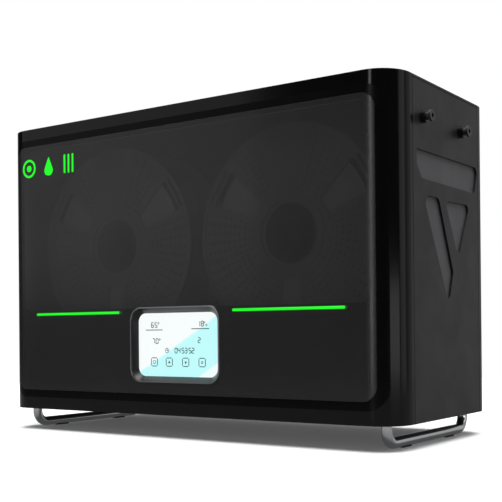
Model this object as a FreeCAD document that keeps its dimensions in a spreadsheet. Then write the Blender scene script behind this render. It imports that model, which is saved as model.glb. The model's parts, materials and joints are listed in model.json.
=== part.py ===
"""Filament dryer: a heated box that dries up to four 200 mm filament spools and feeds them out of its ends.

Frame: +Z up, +X to the right end, -Y to the front (the side with the window and the display).
The origin is on the table, under the middle of the box. Lengths are millimetres, angles degrees.
"""
import FreeCAD, Part
import math
import os

import Sketcher
from FreeCAD import Placement, Rotation, Vector

doc = FreeCAD.newDocument("filament_dryer")
sheet = doc.addObject("Spreadsheet::Sheet", "Sizes")
parts = []

# ---------------------------------------------------------------------------------------------------------
# Driving dimensions
# ---------------------------------------------------------------------------------------------------------
DIMENSIONS = [
    # name, value, what it is
    ("body_width", 462, "box, left end to right end"),
    ("body_depth", 202, "box, front face to rear face"),
    ("body_height", 291.5, "box, underside to top, feet not counted"),
    ("foot_drop", 22, "clear height under the box"),
    ("corner_radius", 28.5, "upright corners of the box"),
    ("wall", 2.5, "wall of the moulded shells"),
    ("front_wrap", 33, "front shell, how far it goes round to the seam"),
    ("rear_wrap", 29, "rear shell, how far it goes round to the seam"),
    ("seam", 0.6, "groove between shells and end panels"),
    ("frame_side", 9.2, "window frame, in from the end of the box"),
    ("frame_above", 11.4, "window frame, down from the top"),
    ("frame_below", 12.1, "window frame, up from the underside"),
    ("frame_corner", 19, "window frame, outer corner radius"),
    ("band_side", 9.3, "window frame, width of its band at the ends"),
    ("band_above", 7.3, "window frame, width of its band at the top"),
    ("band_below", 7.8, "window frame, width of its band at the bottom"),
    ("panel_corner", 12, "smoked window, corner radius"),
    ("panel_proud", 1.3, "smoked window, how far it stands proud"),
    ("carrier_thick", 2, "carrier plate behind the window"),
    ("carrier_lap", 3, "carrier plate, lap behind the front shell"),
    ("sill_height", 101.6, "lower edge of the see-through area, above the underside"),
    ("view_side", 6.5, "see-through area, in from the window's end edge"),
    ("view_above", 4, "see-through area, down from the window's top edge"),
    ("view_corner", 8, "see-through area, corner radius"),
    ("bezel_width", 107.8, "display bezel"),
    ("bezel_height", 71.6, "display bezel"),
    ("bezel_corner", 13, "display bezel, corner radius"),
    ("bezel_rim", 1.3, "display bezel, width of its front edge"),
    ("bezel_proud", 0.5, "display bezel, how far it stands proud of the window"),
    ("display_height", 66.5, "middle of the display, above the underside"),
    ("screen_width", 95.4, "visible screen"),
    ("screen_height", 59.8, "visible screen"),
    ("screen_corner", 8.5, "visible screen, corner radius"),
    ("screen_depth", 6, "how far the screen lies behind the bezel's edge"),
    ("glass_thick", 1.2, "touch glass"),
    ("glass_lap", 3, "touch glass, lap behind the bezel"),
    ("lcd_thick", 4, "lit screen module"),
    ("board_gap", 5, "air behind the screen module"),
    ("board_thick", 1.6, "circuit boards"),
    ("board_lap", 9, "control board, lap past the bezel's ends"),
    ("bar_inner", 68.2, "light bar, inner end from the middle"),
    ("bar_length", 116.6, "light bar"),
    ("bar_thick", 2.6, "light bar"),
    ("bar_height", 97.7, "middle of the light bars, above the underside"),
    ("bar_proud", 0.2, "light bar, how far it stands proud of the window"),
    ("led_board_height", 6.5, "light board"),
    ("icon_height", 250.2, "middle of the pictograms, above the underside"),
    ("icon_start", 194, "first pictogram, left of the middle"),
    ("icon_pitch", 29, "from one pictogram to the next"),
    ("icon_radius", 9.5, "pictogram, outer radius"),
    ("icon_line", 2.2, "pictogram, width of its lines"),
    ("icon_thick", 0.3, "pictogram, thickness of the print"),
    ("inlay_thick", 1.5, "end inlay, its plate"),
    ("inlay_rise", 0.5, "end inlay, height of its three pads"),
    ("inlay_margin", 5, "end inlay, lap round the cut-outs"),
    ("groove_depth", 0.5, "shadow groove under the top edge of an end panel"),
    ("groove_height", 0.8, "shadow groove"),
    ("groove_drop", 2, "shadow groove, below the top edge"),
    ("spool_radius", 100, "filament spool"),
    ("spool_width", 64, "filament spool"),
    ("flange_thick", 3, "filament spool, flange"),
    ("drum_radius", 42, "filament spool, drum under the filament"),
    ("hub_bore", 27.5, "filament spool, radius of its bore"),
    ("filament_radius", 84, "wound filament, outer radius"),
    ("spool_setback", 34.4, "front row of spools, behind the front face"),
    ("spool_pitch", 214, "from the left spools to the right ones"),
    ("spool_height", 167, "spool centre, above the underside"),
    ("row_gap", 8, "from the front row to the rear row"),
    ("roller_radius", 8, "roller, at its running rims"),
    ("roller_waist", 6, "roller, between its rims"),
    ("roller_angle", 28, "roller, angle from straight under the spool"),
    ("roller_gap", 0.3, "from a spool to its rollers"),
    ("rim_width", 5, "roller, running rim"),
    ("axle_radius", 3, "roller axle"),
    ("running_gap", 0.05, "radial play of a part that turns or slides on another"),
    ("rail_thick", 3, "rail that carries the roller axles"),
    ("rail_play", 0.4, "from a roller to its rail"),
    ("rail_margin", 12, "rail, past its last axle"),
    ("overhang", 2, "roller, past the outer flanges"),
    ("deck_height", 58, "underside of the deck, above the underside of the box"),
    ("deck_thick", 2, "deck"),
    ("liner_thick", 2, "chamber liners"),
    ("liner_gap", 17, "from an end panel to its liner"),
    ("liner_front_gap", 4, "from the carrier plate to the liners"),
    ("sill_back", 23, "inner front wall, behind the front face"),
    ("base_thick", 2.5, "base pan"),
    ("ledge", 7, "ledge that the lid lies on"),
    ("ledge_tall", 6, "ledge, below the top frame"),
    ("rim_lap", 6, "rim that carries the ledge, past the end liners"),
    ("mouth_play", 2, "from the spools to the chamber's mouth"),
    ("lid_thick", 3, "lid panel and top frame"),
    ("lid_gap", 0.6, "round the lid"),
    ("liner_play", 1.5, "from the lid's liner to the mouth"),
    ("lid_liner_thick", 8, "lid liner"),
    ("gasket_thick", 1.4, "lid gasket"),
    ("gasket_width", 2, "lid gasket"),
    ("gasket_play", 0.1, "from the gasket to the lid"),
    ("knuckle_radius", 3.5, "lid hinge, knuckles"),
    ("hinge_room", 9, "lid hinge, room behind the ledge"),
    ("hinge_gap", 1, "from the lid's knuckles to the top frame"),
    ("hinge_length", 24, "frame knuckle"),
    ("hinge_place", 150, "frame knuckle, from the middle"),
    ("pin_radius", 1.5, "hinge pin"),
    ("pin_reach", 12, "hinge pin, into the lid on each side"),
    ("notch_width", 40, "finger notch"),
    ("notch_reach", 11, "finger notch, in front of the lid"),
    ("notch_under", 3.5, "finger notch, under the lid's edge"),
    ("notch_deep", 9, "finger notch, below the top"),
    ("magnet_radius", 3, "lid magnets"),
    ("magnet_thick", 1.5, "lid magnets"),
    ("magnet_place", 120, "lid magnets, from the middle"),
    ("outlet_front", 53, "front outlets, behind the front face"),
    ("outlet_rear", 132, "rear outlets, behind the front face"),
    ("outlet_height", 259, "outlets, above the underside"),
    ("shank_radius", 4, "outlet, threaded shank"),
    ("shank_length", 24, "outlet, from its collar inwards"),
    ("collar_radius", 5.5, "outlet, collar"),
    ("collar_length", 4, "outlet, collar"),
    ("collet_radius", 3.4, "outlet collet, sleeve"),
    ("collet_seat", 5, "outlet collet, sleeve inside the collar"),
    ("collet_stroke_room", 3, "outlet collet, free bore behind the sleeve"),
    ("collet_neck", 3.2, "outlet collet, sleeve in the open"),
    ("button_radius", 5, "outlet collet, release ring"),
    ("button_length", 2, "outlet collet, release ring"),
    ("tube_radius", 2.05, "bore for a 4 mm tube"),
    ("tube_seat", 8, "length of the tube's seat"),
    ("filament_bore", 1.2, "bore for the filament behind the tube"),
    ("nut_thick", 4, "outlet nut"),
    ("nut_radius", 7.5, "outlet nut, across its corners over two"),
    ("foot_place", 210, "foot, from the middle"),
    ("foot_inset", 22, "foot legs, in from the front and rear faces"),
    ("foot_radius", 4.75, "foot rod"),
    ("foot_bend", 12, "foot rod, bend of its centre line"),
    ("foot_stub", 10, "foot rod, above the underside"),
    ("foot_nut_radius", 9, "foot nut, across its corners over two"),
    ("pad_rise", 0.6, "foot pads, below the rod"),
    ("pad_length", 16, "foot pads"),
    ("pad_width", 5, "foot pads"),
    ("pad_thick", 1.8, "foot pads"),
    ("pad_place", 45, "foot pads, from the middle"),
    ("fan_size", 60, "circulation fan"),
    ("fan_thick", 15, "circulation fan"),
    ("fan_gap", 12, "air under the circulation fans"),
    ("heater_thick", 20, "heater core"),
    ("slot_pitch", 6.2, "air slots, from one to the next"),
    ("slot_width", 3.4, "air slots"),
    ("fin_thick", 1.6, "heater core, fins between its channels"),
    ("vent_fan_size", 40, "vent fan"),
    ("vent_fan_thick", 10, "vent fan"),
    ("vent_place", 150, "vent, right of the middle"),
    ("vent_height", 230, "vent, above the underside"),
    ("supply_width", 84, "power supply"),
    ("supply_depth", 110, "power supply"),
    ("supply_height", 38, "power supply"),
    ("inlet_place", 165, "mains inlet, left of the middle"),
    ("inlet_height", 32, "mains inlet, above the underside"),
    ("inlet_width", 27, "mains inlet, body"),
    ("inlet_tall", 20, "mains inlet, body"),
    ("inlet_deep", 16, "mains inlet, body"),
    ("inlet_flange", 3, "mains inlet, lap of its flange"),
    ("flange_plate", 2, "mains inlet and switch, thickness of the flange"),
    ("socket_wall", 1.5, "mains inlet, wall of its socket"),
    ("pin_recess", 4.6, "mains inlet, contact pins behind the face"),
    ("switch_place", 125, "rocker switch, left of the middle"),
    ("switch_width", 15, "rocker switch, body"),
    ("switch_tall", 21, "rocker switch, body"),
    ("switch_deep", 14, "rocker switch, body"),
    ("switch_wall", 1.7, "rocker switch, wall round the rocker"),
    ("rocker_play", 0.6, "rocker, from its well"),
    ("rocker_tilt", 8, "rocker, tilt each way"),
    ("boss_radius", 1.4, "rocker, pivot boss at each end"),
    ("boss_proud", 0.25, "rocker, how far each pivot boss stands out"),
    ("screw_radius", 1.5, "case screws"),
    ("head_radius", 3, "case screws, head"),
    ("head_thick", 1.8, "case screws, head"),
    ("screw_length", 9, "case screws, under the head"),
    ("spacer_radius", 4, "spacers and deck posts"),
    ("loom_radius", 2.5, "wire looms"),
]


class Size:
    """A length or an angle that carries its number and the sheet formula it comes from."""

    def __init__(self, number, formula):
        self.number = float(number)
        self.formula = formula

    def __add__(self, other):
        other = as_size(other)
        return Size(self.number + other.number, f"({self.formula} + {other.formula})")

    def __radd__(self, other):
        return as_size(other) + self

    def __sub__(self, other):
        other = as_size(other)
        return Size(self.number - other.number, f"({self.formula} - {other.formula})")

    def __rsub__(self, other):
        return as_size(other) - self

    def __mul__(self, factor):
        factor = as_size(factor)
        return Size(self.number * factor.number, f"({self.formula} * {factor.formula})")

    __rmul__ = __mul__

    def __truediv__(self, divisor):
        divisor = as_size(divisor)
        return Size(self.number / divisor.number, f"({self.formula} / {divisor.formula})")

    def __neg__(self):
        return Size(-self.number, f"(0 - {self.formula})")


def as_size(value):
    """A Size as it is, or a plain number as a Size."""
    return value if isinstance(value, Size) else Size(value, f"({value!r})")


def sine(angle):
    """Sine of an angle in degrees."""
    return Size(math.sin(math.radians(angle.number)), f"sin({angle.formula})")


def cosine(angle):
    """Cosine of an angle in degrees."""
    return Size(math.cos(math.radians(angle.number)), f"cos({angle.formula})")


for row, (alias, amount, meaning) in enumerate(DIMENSIONS, start=1):
    sheet.set(f"A{row}", meaning)
    sheet.set(f"B{row}", str(amount))
    sheet.setAlias(f"B{row}", alias)
doc.recompute()
globals().update({alias: Size(sheet.get(alias), f"Sizes.{alias}") for alias, _, _ in DIMENSIONS})

# Levels and lines that several pieces share
half_width = body_width / 2
front = -body_depth / 2
rear = body_depth / 2
base = foot_drop
top = foot_drop + body_height
floor_plate_top = base + base_thick
deck_bottom = base + deck_height
deck_top = deck_bottom + deck_thick
sill = base + sill_height
carrier_back = front + wall + carrier_thick
chamber_half = half_width - wall - liner_gap
spool_front = front + spool_setback
rows_depth = spool_width * 2 + row_gap
spool_rear = spool_front + rows_depth
column = spool_pitch / 2
roller_reach = (spool_radius + roller_gap + roller_radius) * sine(roller_angle)
roller_level = base + spool_height - (spool_radius + roller_gap + roller_radius) * cosine(roller_angle)
rail_front = spool_front - overhang - rail_play - rail_thick
rail_rear = spool_rear + overhang + rail_play
chamber_back = rail_rear + rail_thick + 1
mouth_half = column + spool_radius + mouth_play
mouth_front = spool_front - mouth_play
mouth_rear = spool_rear + mouth_play
opening_half = mouth_half + ledge
opening_front = mouth_front - ledge
opening_rear = mouth_rear + ledge + hinge_room
frame_bottom = top - lid_thick
ledge_top = frame_bottom - gasket_thick - gasket_play
ledge_bottom = frame_bottom - ledge_tall
pivot_y = opening_rear - hinge_gap - knuckle_radius
pivot_z = top - knuckle_radius

# ---------------------------------------------------------------------------------------------------------
# Drawing helpers
# ---------------------------------------------------------------------------------------------------------
MOVED_LEAST = 0.01
VENT_SLOTS = 7
AIR_SLOTS = 9
SUPPLY_SLOTS = 11
AXIS_TURNS = {
    "X": Rotation(Vector(0, 1, 0), 90),
    "Y": Rotation(Vector(1, 0, 0), -90),
    "Z": Rotation(),
}


def drive(item, path, value):
    """Binds one property to the sheet."""
    item.setExpression(path, as_size(value).formula)


def place(item, corner, turn=None):
    """Puts an object at a place that follows the sheet, turned about its own origin."""
    if turn is not None:
        item.Placement = Placement(Vector(), turn)
    for axis, value in zip("xyz", corner):
        drive(item, f"Placement.Base.{axis}", value)
    return item


def keep(item, label=None):
    """Marks a finished object as a sub-part; its Label names the file."""
    item.Label = label or item.Name
    parts.append(item)
    return item


def draw_round(sketch, x, y, radius):
    """Draws a circle and gives back its rules: (constraint, the size it follows)."""
    circle = Part.Circle(Vector(x.number, y.number, 0), Vector(0, 0, 1), radius.number)
    index = sketch.addGeometry(circle, False)
    return at_spot(index, 3, x, y) + [(Sketcher.Constraint("Radius", index, radius.number), radius)]


def at_spot(geometry, point, x, y):
    """Rules that hold one point of a drawn line, arc or marker at a place."""
    return [
        (Sketcher.Constraint("DistanceX", -1, 1, geometry, point, x.number), x),
        (Sketcher.Constraint("DistanceY", -1, 1, geometry, point, y.number), y),
    ]


def corner_arc(before, here, after, radius):
    """Where a corner's arc starts and ends, its centre and whether it turns left."""
    into = (before - here).normalize()
    out = (after - here).normalize()
    half_angle = into.getAngle(out) / 2
    reach = radius / math.tan(half_angle)
    centre = here + (into + out).normalize() * (radius / math.sin(half_angle))
    turns_left = (here - before).cross(after - here).z > 0
    return here + into * reach, here + out * reach, centre, turns_left


def draw_outline(sketch, corners):
    """Draws a closed outline of straight sides and gives back its rules.

    A corner is (x, y) or, rounded, (x, y, radius).
    """
    corners = [tuple(as_size(value) for value in corner) for corner in corners]
    spots = [Vector(corner[0].number, corner[1].number, 0) for corner in corners]
    count = len(corners)
    starts, ends, arcs = list(spots), list(spots), {}
    for index, corner in enumerate(corners):
        if len(corner) == 3:
            ends[index], starts[index], centre, left = corner_arc(
                spots[index - 1], spots[index], spots[(index + 1) % count], corner[2].number
            )
            arcs[index] = (centre, left)
    sides = [
        sketch.addGeometry(Part.LineSegment(starts[index], ends[(index + 1) % count]), False)
        for index in range(count)
    ]
    rules = []
    for index, corner in enumerate(corners):
        before, after = sides[index - 1], sides[index]
        if index in arcs:
            rules += draw_corner(sketch, corner, arcs[index], before, after)
        else:
            rules.append((Sketcher.Constraint("Coincident", before, 2, after, 1), None))
            rules += at_spot(after, 1, corner[0], corner[1])
    return rules


def draw_corner(sketch, corner, arc, before, after):
    """Rounds one corner of an outline; a marker point holds the sharp corner's place."""
    x, y, radius = corner
    centre, left = arc
    first = sketch.Geometry[before].EndPoint - centre
    last = sketch.Geometry[after].StartPoint - centre
    if not left:
        first, last = last, first
    circle = Part.Circle(centre, Vector(0, 0, 1), radius.number)
    start_angle, end_angle = math.atan2(first.y, first.x), math.atan2(last.y, last.x)
    bend = sketch.addGeometry(Part.ArcOfCircle(circle, start_angle, end_angle), False)
    marker = sketch.addGeometry(Part.Point(Vector(x.number, y.number, 0)), True)
    near, far = (1, 2) if left else (2, 1)
    ties = [
        Sketcher.Constraint("Tangent", before, 2, bend, near),
        Sketcher.Constraint("Tangent", bend, far, after, 1),
        Sketcher.Constraint("PointOnObject", marker, 1, before),
        Sketcher.Constraint("PointOnObject", marker, 1, after),
    ]
    rules = [(tie, None) for tie in ties] + at_spot(marker, 1, x, y)
    return rules + [(Sketcher.Constraint("Radius", bend, radius.number), radius)]


def set_rules(sketch, rules):
    """Adds all rules of a sketch at once and ties the measured ones to the sheet."""
    indices = sketch.addConstraint([constraint for constraint, _ in rules])
    for index, (_, value) in zip(indices, rules):
        if value is not None:
            drive(sketch, f"Constraints[{index}]", value)


def rectangle(low_x, low_y, high_x, high_y, radius=None):
    """Corners of a rectangle, rounded where a radius is given."""
    spots = ((low_x, low_y), (high_x, low_y), (high_x, high_y), (low_x, high_y))
    return [spot if radius is None else spot + (radius,) for spot in spots]


def sketch_on(body, plane, level, shapes):
    """A sketch on one of the body's own planes; a shape of three values is a circle, else an outline."""
    sketch = body.newObject("Sketcher::SketchObject", f"{body.Name}_sketch")
    support = next(item for item in body.Origin.OriginFeatures if item.Role == f"{plane}_Plane")
    sketch.AttachmentSupport = [(support, "")]
    sketch.MapMode = "FlatFace"
    drive(sketch, "AttachmentOffset.Base.z", -level if plane == "XZ" else level)
    rules = []
    for shape in shapes:
        if isinstance(shape, tuple):
            rules += draw_round(sketch, *(as_size(value) for value in shape))
        else:
            rules += draw_outline(sketch, shape)
    if rules:
        set_rules(sketch, rules)
    return sketch


def pad(body, plane, level, shapes, thickness):
    """Adds material from a level, along the positive axis, and checks that it did."""
    before = volume_of(body)
    feature = body.newObject("PartDesign::Pad", f"{body.Name}_pad")
    feature.Profile = sketch_on(body, plane, level, shapes)
    feature.Reversed = plane == "XZ"
    drive(feature, "Length", thickness)
    doc.recompute()
    if not volume_of(body) > before:
        raise ValueError(f"{body.Name}: a pad adds nothing")
    return feature


def pocket(body, plane, level, shapes, depth):
    """Removes material from a level, along the positive axis, and checks that it did."""
    before = volume_of(body)
    feature = body.newObject("PartDesign::Pocket", f"{body.Name}_pocket")
    feature.Profile = sketch_on(body, plane, level, shapes)
    feature.Reversed = plane != "XZ"
    drive(feature, "Length", depth)
    doc.recompute()
    if not volume_of(body) < before:
        raise ValueError(f"{body.Name}: a pocket cuts nothing")
    return feature


def repeat(body, feature, axis, span, count):
    """Repeats a feature in an even row along one of the body's own axes; the last one lies a span away."""
    before = volume_of(body)
    row = body.newObject("PartDesign::LinearPattern", f"{body.Name}_row")
    row.Originals = [feature]
    row.Direction = (own_axis(body, axis), [""])
    drive(row, "Length", span)
    row.Occurrences = count
    body.Tip = row
    doc.recompute()
    if abs(volume_of(body) - before) < MOVED_LEAST:
        raise ValueError(f"{body.Name}: a row changes nothing")


def own_axis(body, axis):
    """One of the body's own axes."""
    return next(item for item in body.Origin.OriginFeatures if item.Role == f"{axis}_Axis")


def volume_of(body):
    """Volume of a body so far."""
    return 0.0 if body.Shape.isNull() else body.Shape.Volume


def slab(name, plane, level, shapes, thickness):
    """A new body with its first pad."""
    body = doc.addObject("PartDesign::Body", name)
    pad(body, plane, level, shapes, thickness)
    return body


def turned(name, corners):
    """A body turned about its own Z axis from an outline of (radius, height) corners."""
    body = doc.addObject("PartDesign::Body", name)
    sketch = sketch_on(body, "XZ", as_size(0), [corners])
    feature = body.newObject("PartDesign::Revolution", f"{name}_turning")
    feature.Profile = sketch
    feature.ReferenceAxis = (sketch, ["V_Axis"])
    doc.recompute()
    return body


def block(name, low, high):
    """A box from its lowest corner to its highest."""
    box = doc.addObject("Part::Box", name)
    for path, start, stop in zip(("Length", "Width", "Height"), low, high):
        drive(box, path, stop - start)
    return place(box, low)


def rod(name, start, axis, radius, length):
    """A cylinder from the middle of its lower end, along a positive axis."""
    cylinder = doc.addObject("Part::Cylinder", name)
    drive(cylinder, "Radius", radius)
    drive(cylinder, "Height", length)
    return place(cylinder, start, AXIS_TURNS[axis])


def fused(name, items):
    """One solid from several that meet."""
    union = doc.addObject("Part::MultiFuse", name)
    union.Shapes = items
    return union


def cut(name, whole, tools):
    """A solid with others taken away."""
    result = doc.addObject("Part::Cut", name)
    result.Base = whole
    result.Tool = tools[0] if len(tools) == 1 else fused(f"{name}_tools", tools)
    return result


def group(name, items):
    """Separate solids that share a node."""
    compound = doc.addObject("Part::Compound", name)
    compound.Links = items
    return compound


def shell_layer(side, outward, thickness, wrap):
    """Plan of a layer that follows the front (side -1) or rear (side 1) of the box and its corners."""
    outer_x, outer_y = half_width + outward, (rear + outward) * side
    inner_x, inner_y = outer_x - thickness, outer_y - thickness * side
    end_y = (rear - wrap) * side
    bend = corner_radius + outward
    return [
        (-outer_x, end_y), (-outer_x, outer_y, bend), (outer_x, outer_y, bend), (outer_x, end_y),
        (inner_x, end_y), (inner_x, inner_y, bend - thickness),
        (-inner_x, inner_y, bend - thickness), (-inner_x, end_y),
    ]


def plan_inside(inset):
    """Plan of the whole box, smaller by an inset all round."""
    return rectangle(
        -half_width + inset, front + inset, half_width - inset, rear - inset, corner_radius - inset
    )


# ---------------------------------------------------------------------------------------------------------
# Front: shell, window frame, smoked window and the carrier plate behind them
# ---------------------------------------------------------------------------------------------------------
def frame_outline(lap=0):
    """Outer edge of the window frame, seen from the front."""
    reach = half_width - frame_side + lap
    return rectangle(
        -reach, base + frame_below - lap, reach, top - frame_above + lap, frame_corner + lap
    )


def window_outline():
    """Edge of the smoked window, seen from the front."""
    reach = half_width - frame_side - band_side
    low, high = base + frame_below + band_below, top - frame_above - band_above
    return rectangle(-reach, low, reach, high, panel_corner)


def view_outline():
    """The see-through part of the window."""
    reach = half_width - frame_side - band_side - view_side
    high = top - frame_above - band_above - view_above
    return rectangle(-reach, sill, reach, high, view_corner)


def centred(width, height, radius):
    """A rounded rectangle round the middle of the display."""
    level = base + display_height
    return rectangle(-width / 2, level - height / 2, width / 2, level + height / 2, radius)


def bar_outline(side):
    """A light bar, seen from the front."""
    level = base + bar_height
    near, far = bar_inner * side, (bar_inner + bar_length) * side
    low, high = (near, far) if side > 0 else (far, near)
    return rectangle(low, level - bar_thick / 2, high, level + bar_thick / 2)


def follow_front(body, outward, thickness):
    """Cuts a slab down to a layer that follows the curved front."""
    reach = half_width + corner_radius
    surround = rectangle(-reach, front - corner_radius, reach, front + corner_radius * 3)
    layer = shell_layer(-1, outward, thickness, front_wrap + corner_radius)
    pocket(body, "XY", base, [surround, layer], body_height)


def make_front_shell():
    """The gloss front cover, open where the window frame goes."""
    body = slab("front_shell", "XY", base, [shell_layer(-1, 0, wall, front_wrap)], body_height)
    pocket(body, "XZ", front, [frame_outline()], corner_radius)
    keep(body)


def make_window_frame():
    """The dark band round the window, flush with the front shell."""
    body = slab("window_frame", "XZ", front, [frame_outline(), window_outline()], corner_radius)
    follow_front(body, 0, wall)
    keep(body)


def make_front_window():
    """The smoked window, proud of its frame, open for the display and the light bars."""
    start = front - panel_proud
    body = slab("front_window", "XZ", start, [window_outline()], corner_radius)
    follow_front(body, panel_proud, panel_proud + wall)
    openings = [centred(bezel_width, bezel_height, bezel_corner), bar_outline(-1), bar_outline(1)]
    pocket(body, "XZ", start, openings, corner_radius)
    keep(body)


def make_fascia_carrier():
    """The opaque plate behind the window: the see-through area, display and bars are cut out of it."""
    start = front + wall
    body = slab("fascia_carrier", "XZ", start, [frame_outline(carrier_lap)], corner_radius)
    follow_front(body, -wall, carrier_thick)
    openings = [view_outline(), centred(bezel_width, bezel_height, bezel_corner)]
    openings += [bar_outline(-1), bar_outline(1)]
    pocket(body, "XZ", start, openings, corner_radius)
    keep(body)


def make_light_bars():
    """Green light guides through window and carrier, with their light boards behind."""
    start = front - panel_proud - bar_proud
    bars, boards = [], []
    for side, name in ((-1, "left"), (1, "right")):
        bar = slab(f"light_guide_{name}", "XZ", start, [bar_outline(side)], carrier_back - start)
        bars.append(bar)
        level = base + bar_height + bar_thick / 2
        near, far = (bar_inner - 2) * side, (bar_inner + bar_length + 2) * side
        low, high = (near, far) if side > 0 else (far, near)
        strip = rectangle(low, level - led_board_height, high, level)
        boards.append(slab(f"light_board_{name}", "XZ", carrier_back, [strip], board_thick))
    keep(group("light_bars", bars))
    keep(group("led_boards", boards))


def make_front_icons():
    """Plain pictograms printed on the window: a spool, a drop and rising heat."""
    start = front - panel_proud - icon_thick
    level = base + icon_height
    spool_x = -icon_start
    drop_x = spool_x + icon_pitch
    heat_x = drop_x + icon_pitch
    ring = [(spool_x, level, icon_radius), (spool_x, level, icon_radius - icon_line)]
    eye = [(spool_x, level, icon_line * 1.5)]
    drop = [
        (drop_x, level + icon_radius),
        (drop_x - icon_radius * 0.95, level - icon_radius, icon_radius * 0.55),
        (drop_x + icon_radius * 0.95, level - icon_radius, icon_radius * 0.55),
    ]
    prints = [
        slab("icon_spool", "XZ", start, ring, icon_thick),
        slab("icon_eye", "XZ", start, eye, icon_thick),
    ]
    prints.append(slab("icon_drop", "XZ", start, [drop], icon_thick))
    for index in (-1, 0, 1):
        middle = heat_x + icon_line * 2.6 * index
        stripe = rectangle(
            middle - icon_line / 2, level - icon_radius, middle + icon_line / 2, level + icon_radius,
            icon_line * 0.4,
        )
        prints.append(slab(f"icon_heat_{index + 2}", "XZ", start, [stripe], icon_thick))
    keep(group("front_icons", prints))


# ---------------------------------------------------------------------------------------------------------
# Display
# ---------------------------------------------------------------------------------------------------------
bezel_front = front - panel_proud - bezel_proud
screen_face = bezel_front + screen_depth
board_face = screen_face + glass_thick + lcd_thick + board_gap


def make_display_bezel():
    """The frame round the display; its inner walls slope in to the screen."""
    body = slab(
        "display_bezel", "XZ", bezel_front, [centred(bezel_width, bezel_height, bezel_corner)], screen_depth
    )
    rim = bezel_rim * 2
    wide = centred(bezel_width - rim, bezel_height - rim, bezel_corner - bezel_rim)
    narrow = centred(screen_width, screen_height, screen_corner)
    before = volume_of(body)
    funnel = body.newObject("PartDesign::SubtractiveLoft", "display_bezel_funnel")
    funnel.Profile = sketch_on(body, "XZ", bezel_front, [wide])
    funnel.Sections = [sketch_on(body, "XZ", screen_face, [narrow])]
    funnel.Ruled = True
    doc.recompute()
    if not volume_of(body) < before:
        raise ValueError("display_bezel: the funnel cuts nothing")
    keep(body)


def make_screen():
    """Touch glass, lit screen module, control board and its parts."""
    lap = glass_lap * 2
    glass = centred(screen_width + lap, screen_height + lap, screen_corner + glass_lap)
    keep(slab("display_glass", "XZ", screen_face, [glass], glass_thick))
    module = centred(screen_width + lap, screen_height + lap, screen_corner)
    keep(slab("lcd_panel", "XZ", screen_face + glass_thick, [module], lcd_thick))
    edge = board_lap * 2
    board = centred(bezel_width + edge, screen_height + glass_lap, screen_corner)
    body = slab("control_board", "XZ", board_face, [board], board_thick)
    chips = [
        centred(screen_width / 4, screen_height / 4, as_size(1)),
        rectangle(
            bezel_width / 4, base + display_height - 20, bezel_width / 4 + 14, base + display_height + 20
        ),
    ]
    pad(body, "XZ", board_face + board_thick, chips, as_size(2.5))
    pocket(body, "XZ", board_face, [spot + (screw_radius,) for spot in board_spots()], board_thick)
    keep(body)


def board_spots():
    """Middles of the control board's four fixings, seen from the front."""
    reach = bezel_width / 2 + board_lap / 2
    rise = bezel_height / 2 - bezel_corner
    level = base + display_height
    return [(reach * side, level + rise * up) for side in (-1, 1) for up in (-1, 1)]


# ---------------------------------------------------------------------------------------------------------
# Ends: side panels and inlays
# ---------------------------------------------------------------------------------------------------------
# Corners of the three cut-outs: behind the middle of the box, above its underside, corner radius
GRIP_BAR = [(-61, 230.5, 2), (71.5, 231.5, 6), (63.5, 206.5, 4), (-51, 206.5, 6), (-60.5, 218, 4)]
SLANTED_BAR = [(-48.2, 193, 7), (-16.6, 193.5, 7), (12.9, 130, 5), (3.1, 99.9, 4)]
TRIANGLE = [(-3.1, 192.3, 4), (51.5, 194, 5), (24.7, 142.5, 4.5)]


def cut_outs():
    """The three cut-outs of an end panel, seen from its end."""
    outlines = []
    for corners in (GRIP_BAR, SLANTED_BAR, TRIANGLE):
        outlines.append([(as_size(along), base + up, radius) for along, up, radius in corners])
    return outlines


def inlay_outline():
    """The inlay's plate, round all the cut-outs; its rear edge is where the box's end stops being flat."""
    along = [corner[0] for corner in GRIP_BAR]
    up = [corner[1] for corner in GRIP_BAR + SLANTED_BAR]
    low = (min(along) - inlay_margin, base + min(up) - inlay_margin)
    high = base + max(up) + inlay_margin
    return rectangle(low[0], low[1], rear - corner_radius, high, inlay_margin)


def make_ends():
    """End panels with their cut-outs and outlet holes, and the inlays behind them."""
    inlays = []
    level = base + outlet_height
    for side, name in ((-1, "left"), (1, "right")):
        inner = half_width - wall if side > 0 else -half_width
        plate = rectangle(front + front_wrap + seam, base, rear - rear_wrap - seam, top)
        body = slab(f"side_panel_{name}", "YZ", inner, [plate], wall)
        pocket(body, "YZ", inner, cut_outs(), wall)
        holes = [(front + outlet_front, level, shank_radius), (front + outlet_rear, level, shank_radius)]
        pocket(body, "YZ", inner, holes, wall)
        high = top - groove_drop
        groove = rectangle(front + front_wrap + seam, high - groove_height, rear - rear_wrap - seam, high)
        outer = half_width - groove_depth if side > 0 else -half_width
        pocket(body, "YZ", outer, [groove], groove_depth)
        keep(body)
        back = half_width - wall - inlay_thick if side > 0 else -half_width + wall
        inlay = slab(f"side_inlay_{name}", "YZ", back, [inlay_outline()], inlay_thick)
        face = half_width - wall if side > 0 else -half_width + wall - inlay_rise
        pad(inlay, "YZ", face, cut_outs(), inlay_rise)
        inlays.append(inlay)
    keep(group("side_inlays", inlays))


# ---------------------------------------------------------------------------------------------------------
# Rear shell, base pan, top frame
# ---------------------------------------------------------------------------------------------------------
def rear_spots():
    """Middles of the rear shell's six screws, seen from the front."""
    reach = half_width - corner_radius - 12
    return [(reach * side, base + up) for side in (-1, 1) for up in (75, 165, 275)]


def post_spots():
    """Middles of the deck's posts, seen from above."""
    front_line, rear_line = front + sill_back + liner_thick + 9, chamber_back - 9
    reaches = (column + fan_size / 2 + 12, column - fan_size / 2 - 12)
    lines = (front_line, rear_line)
    return [(reach * side, line) for line in lines for reach in reaches for side in (-1, 1)]


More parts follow.
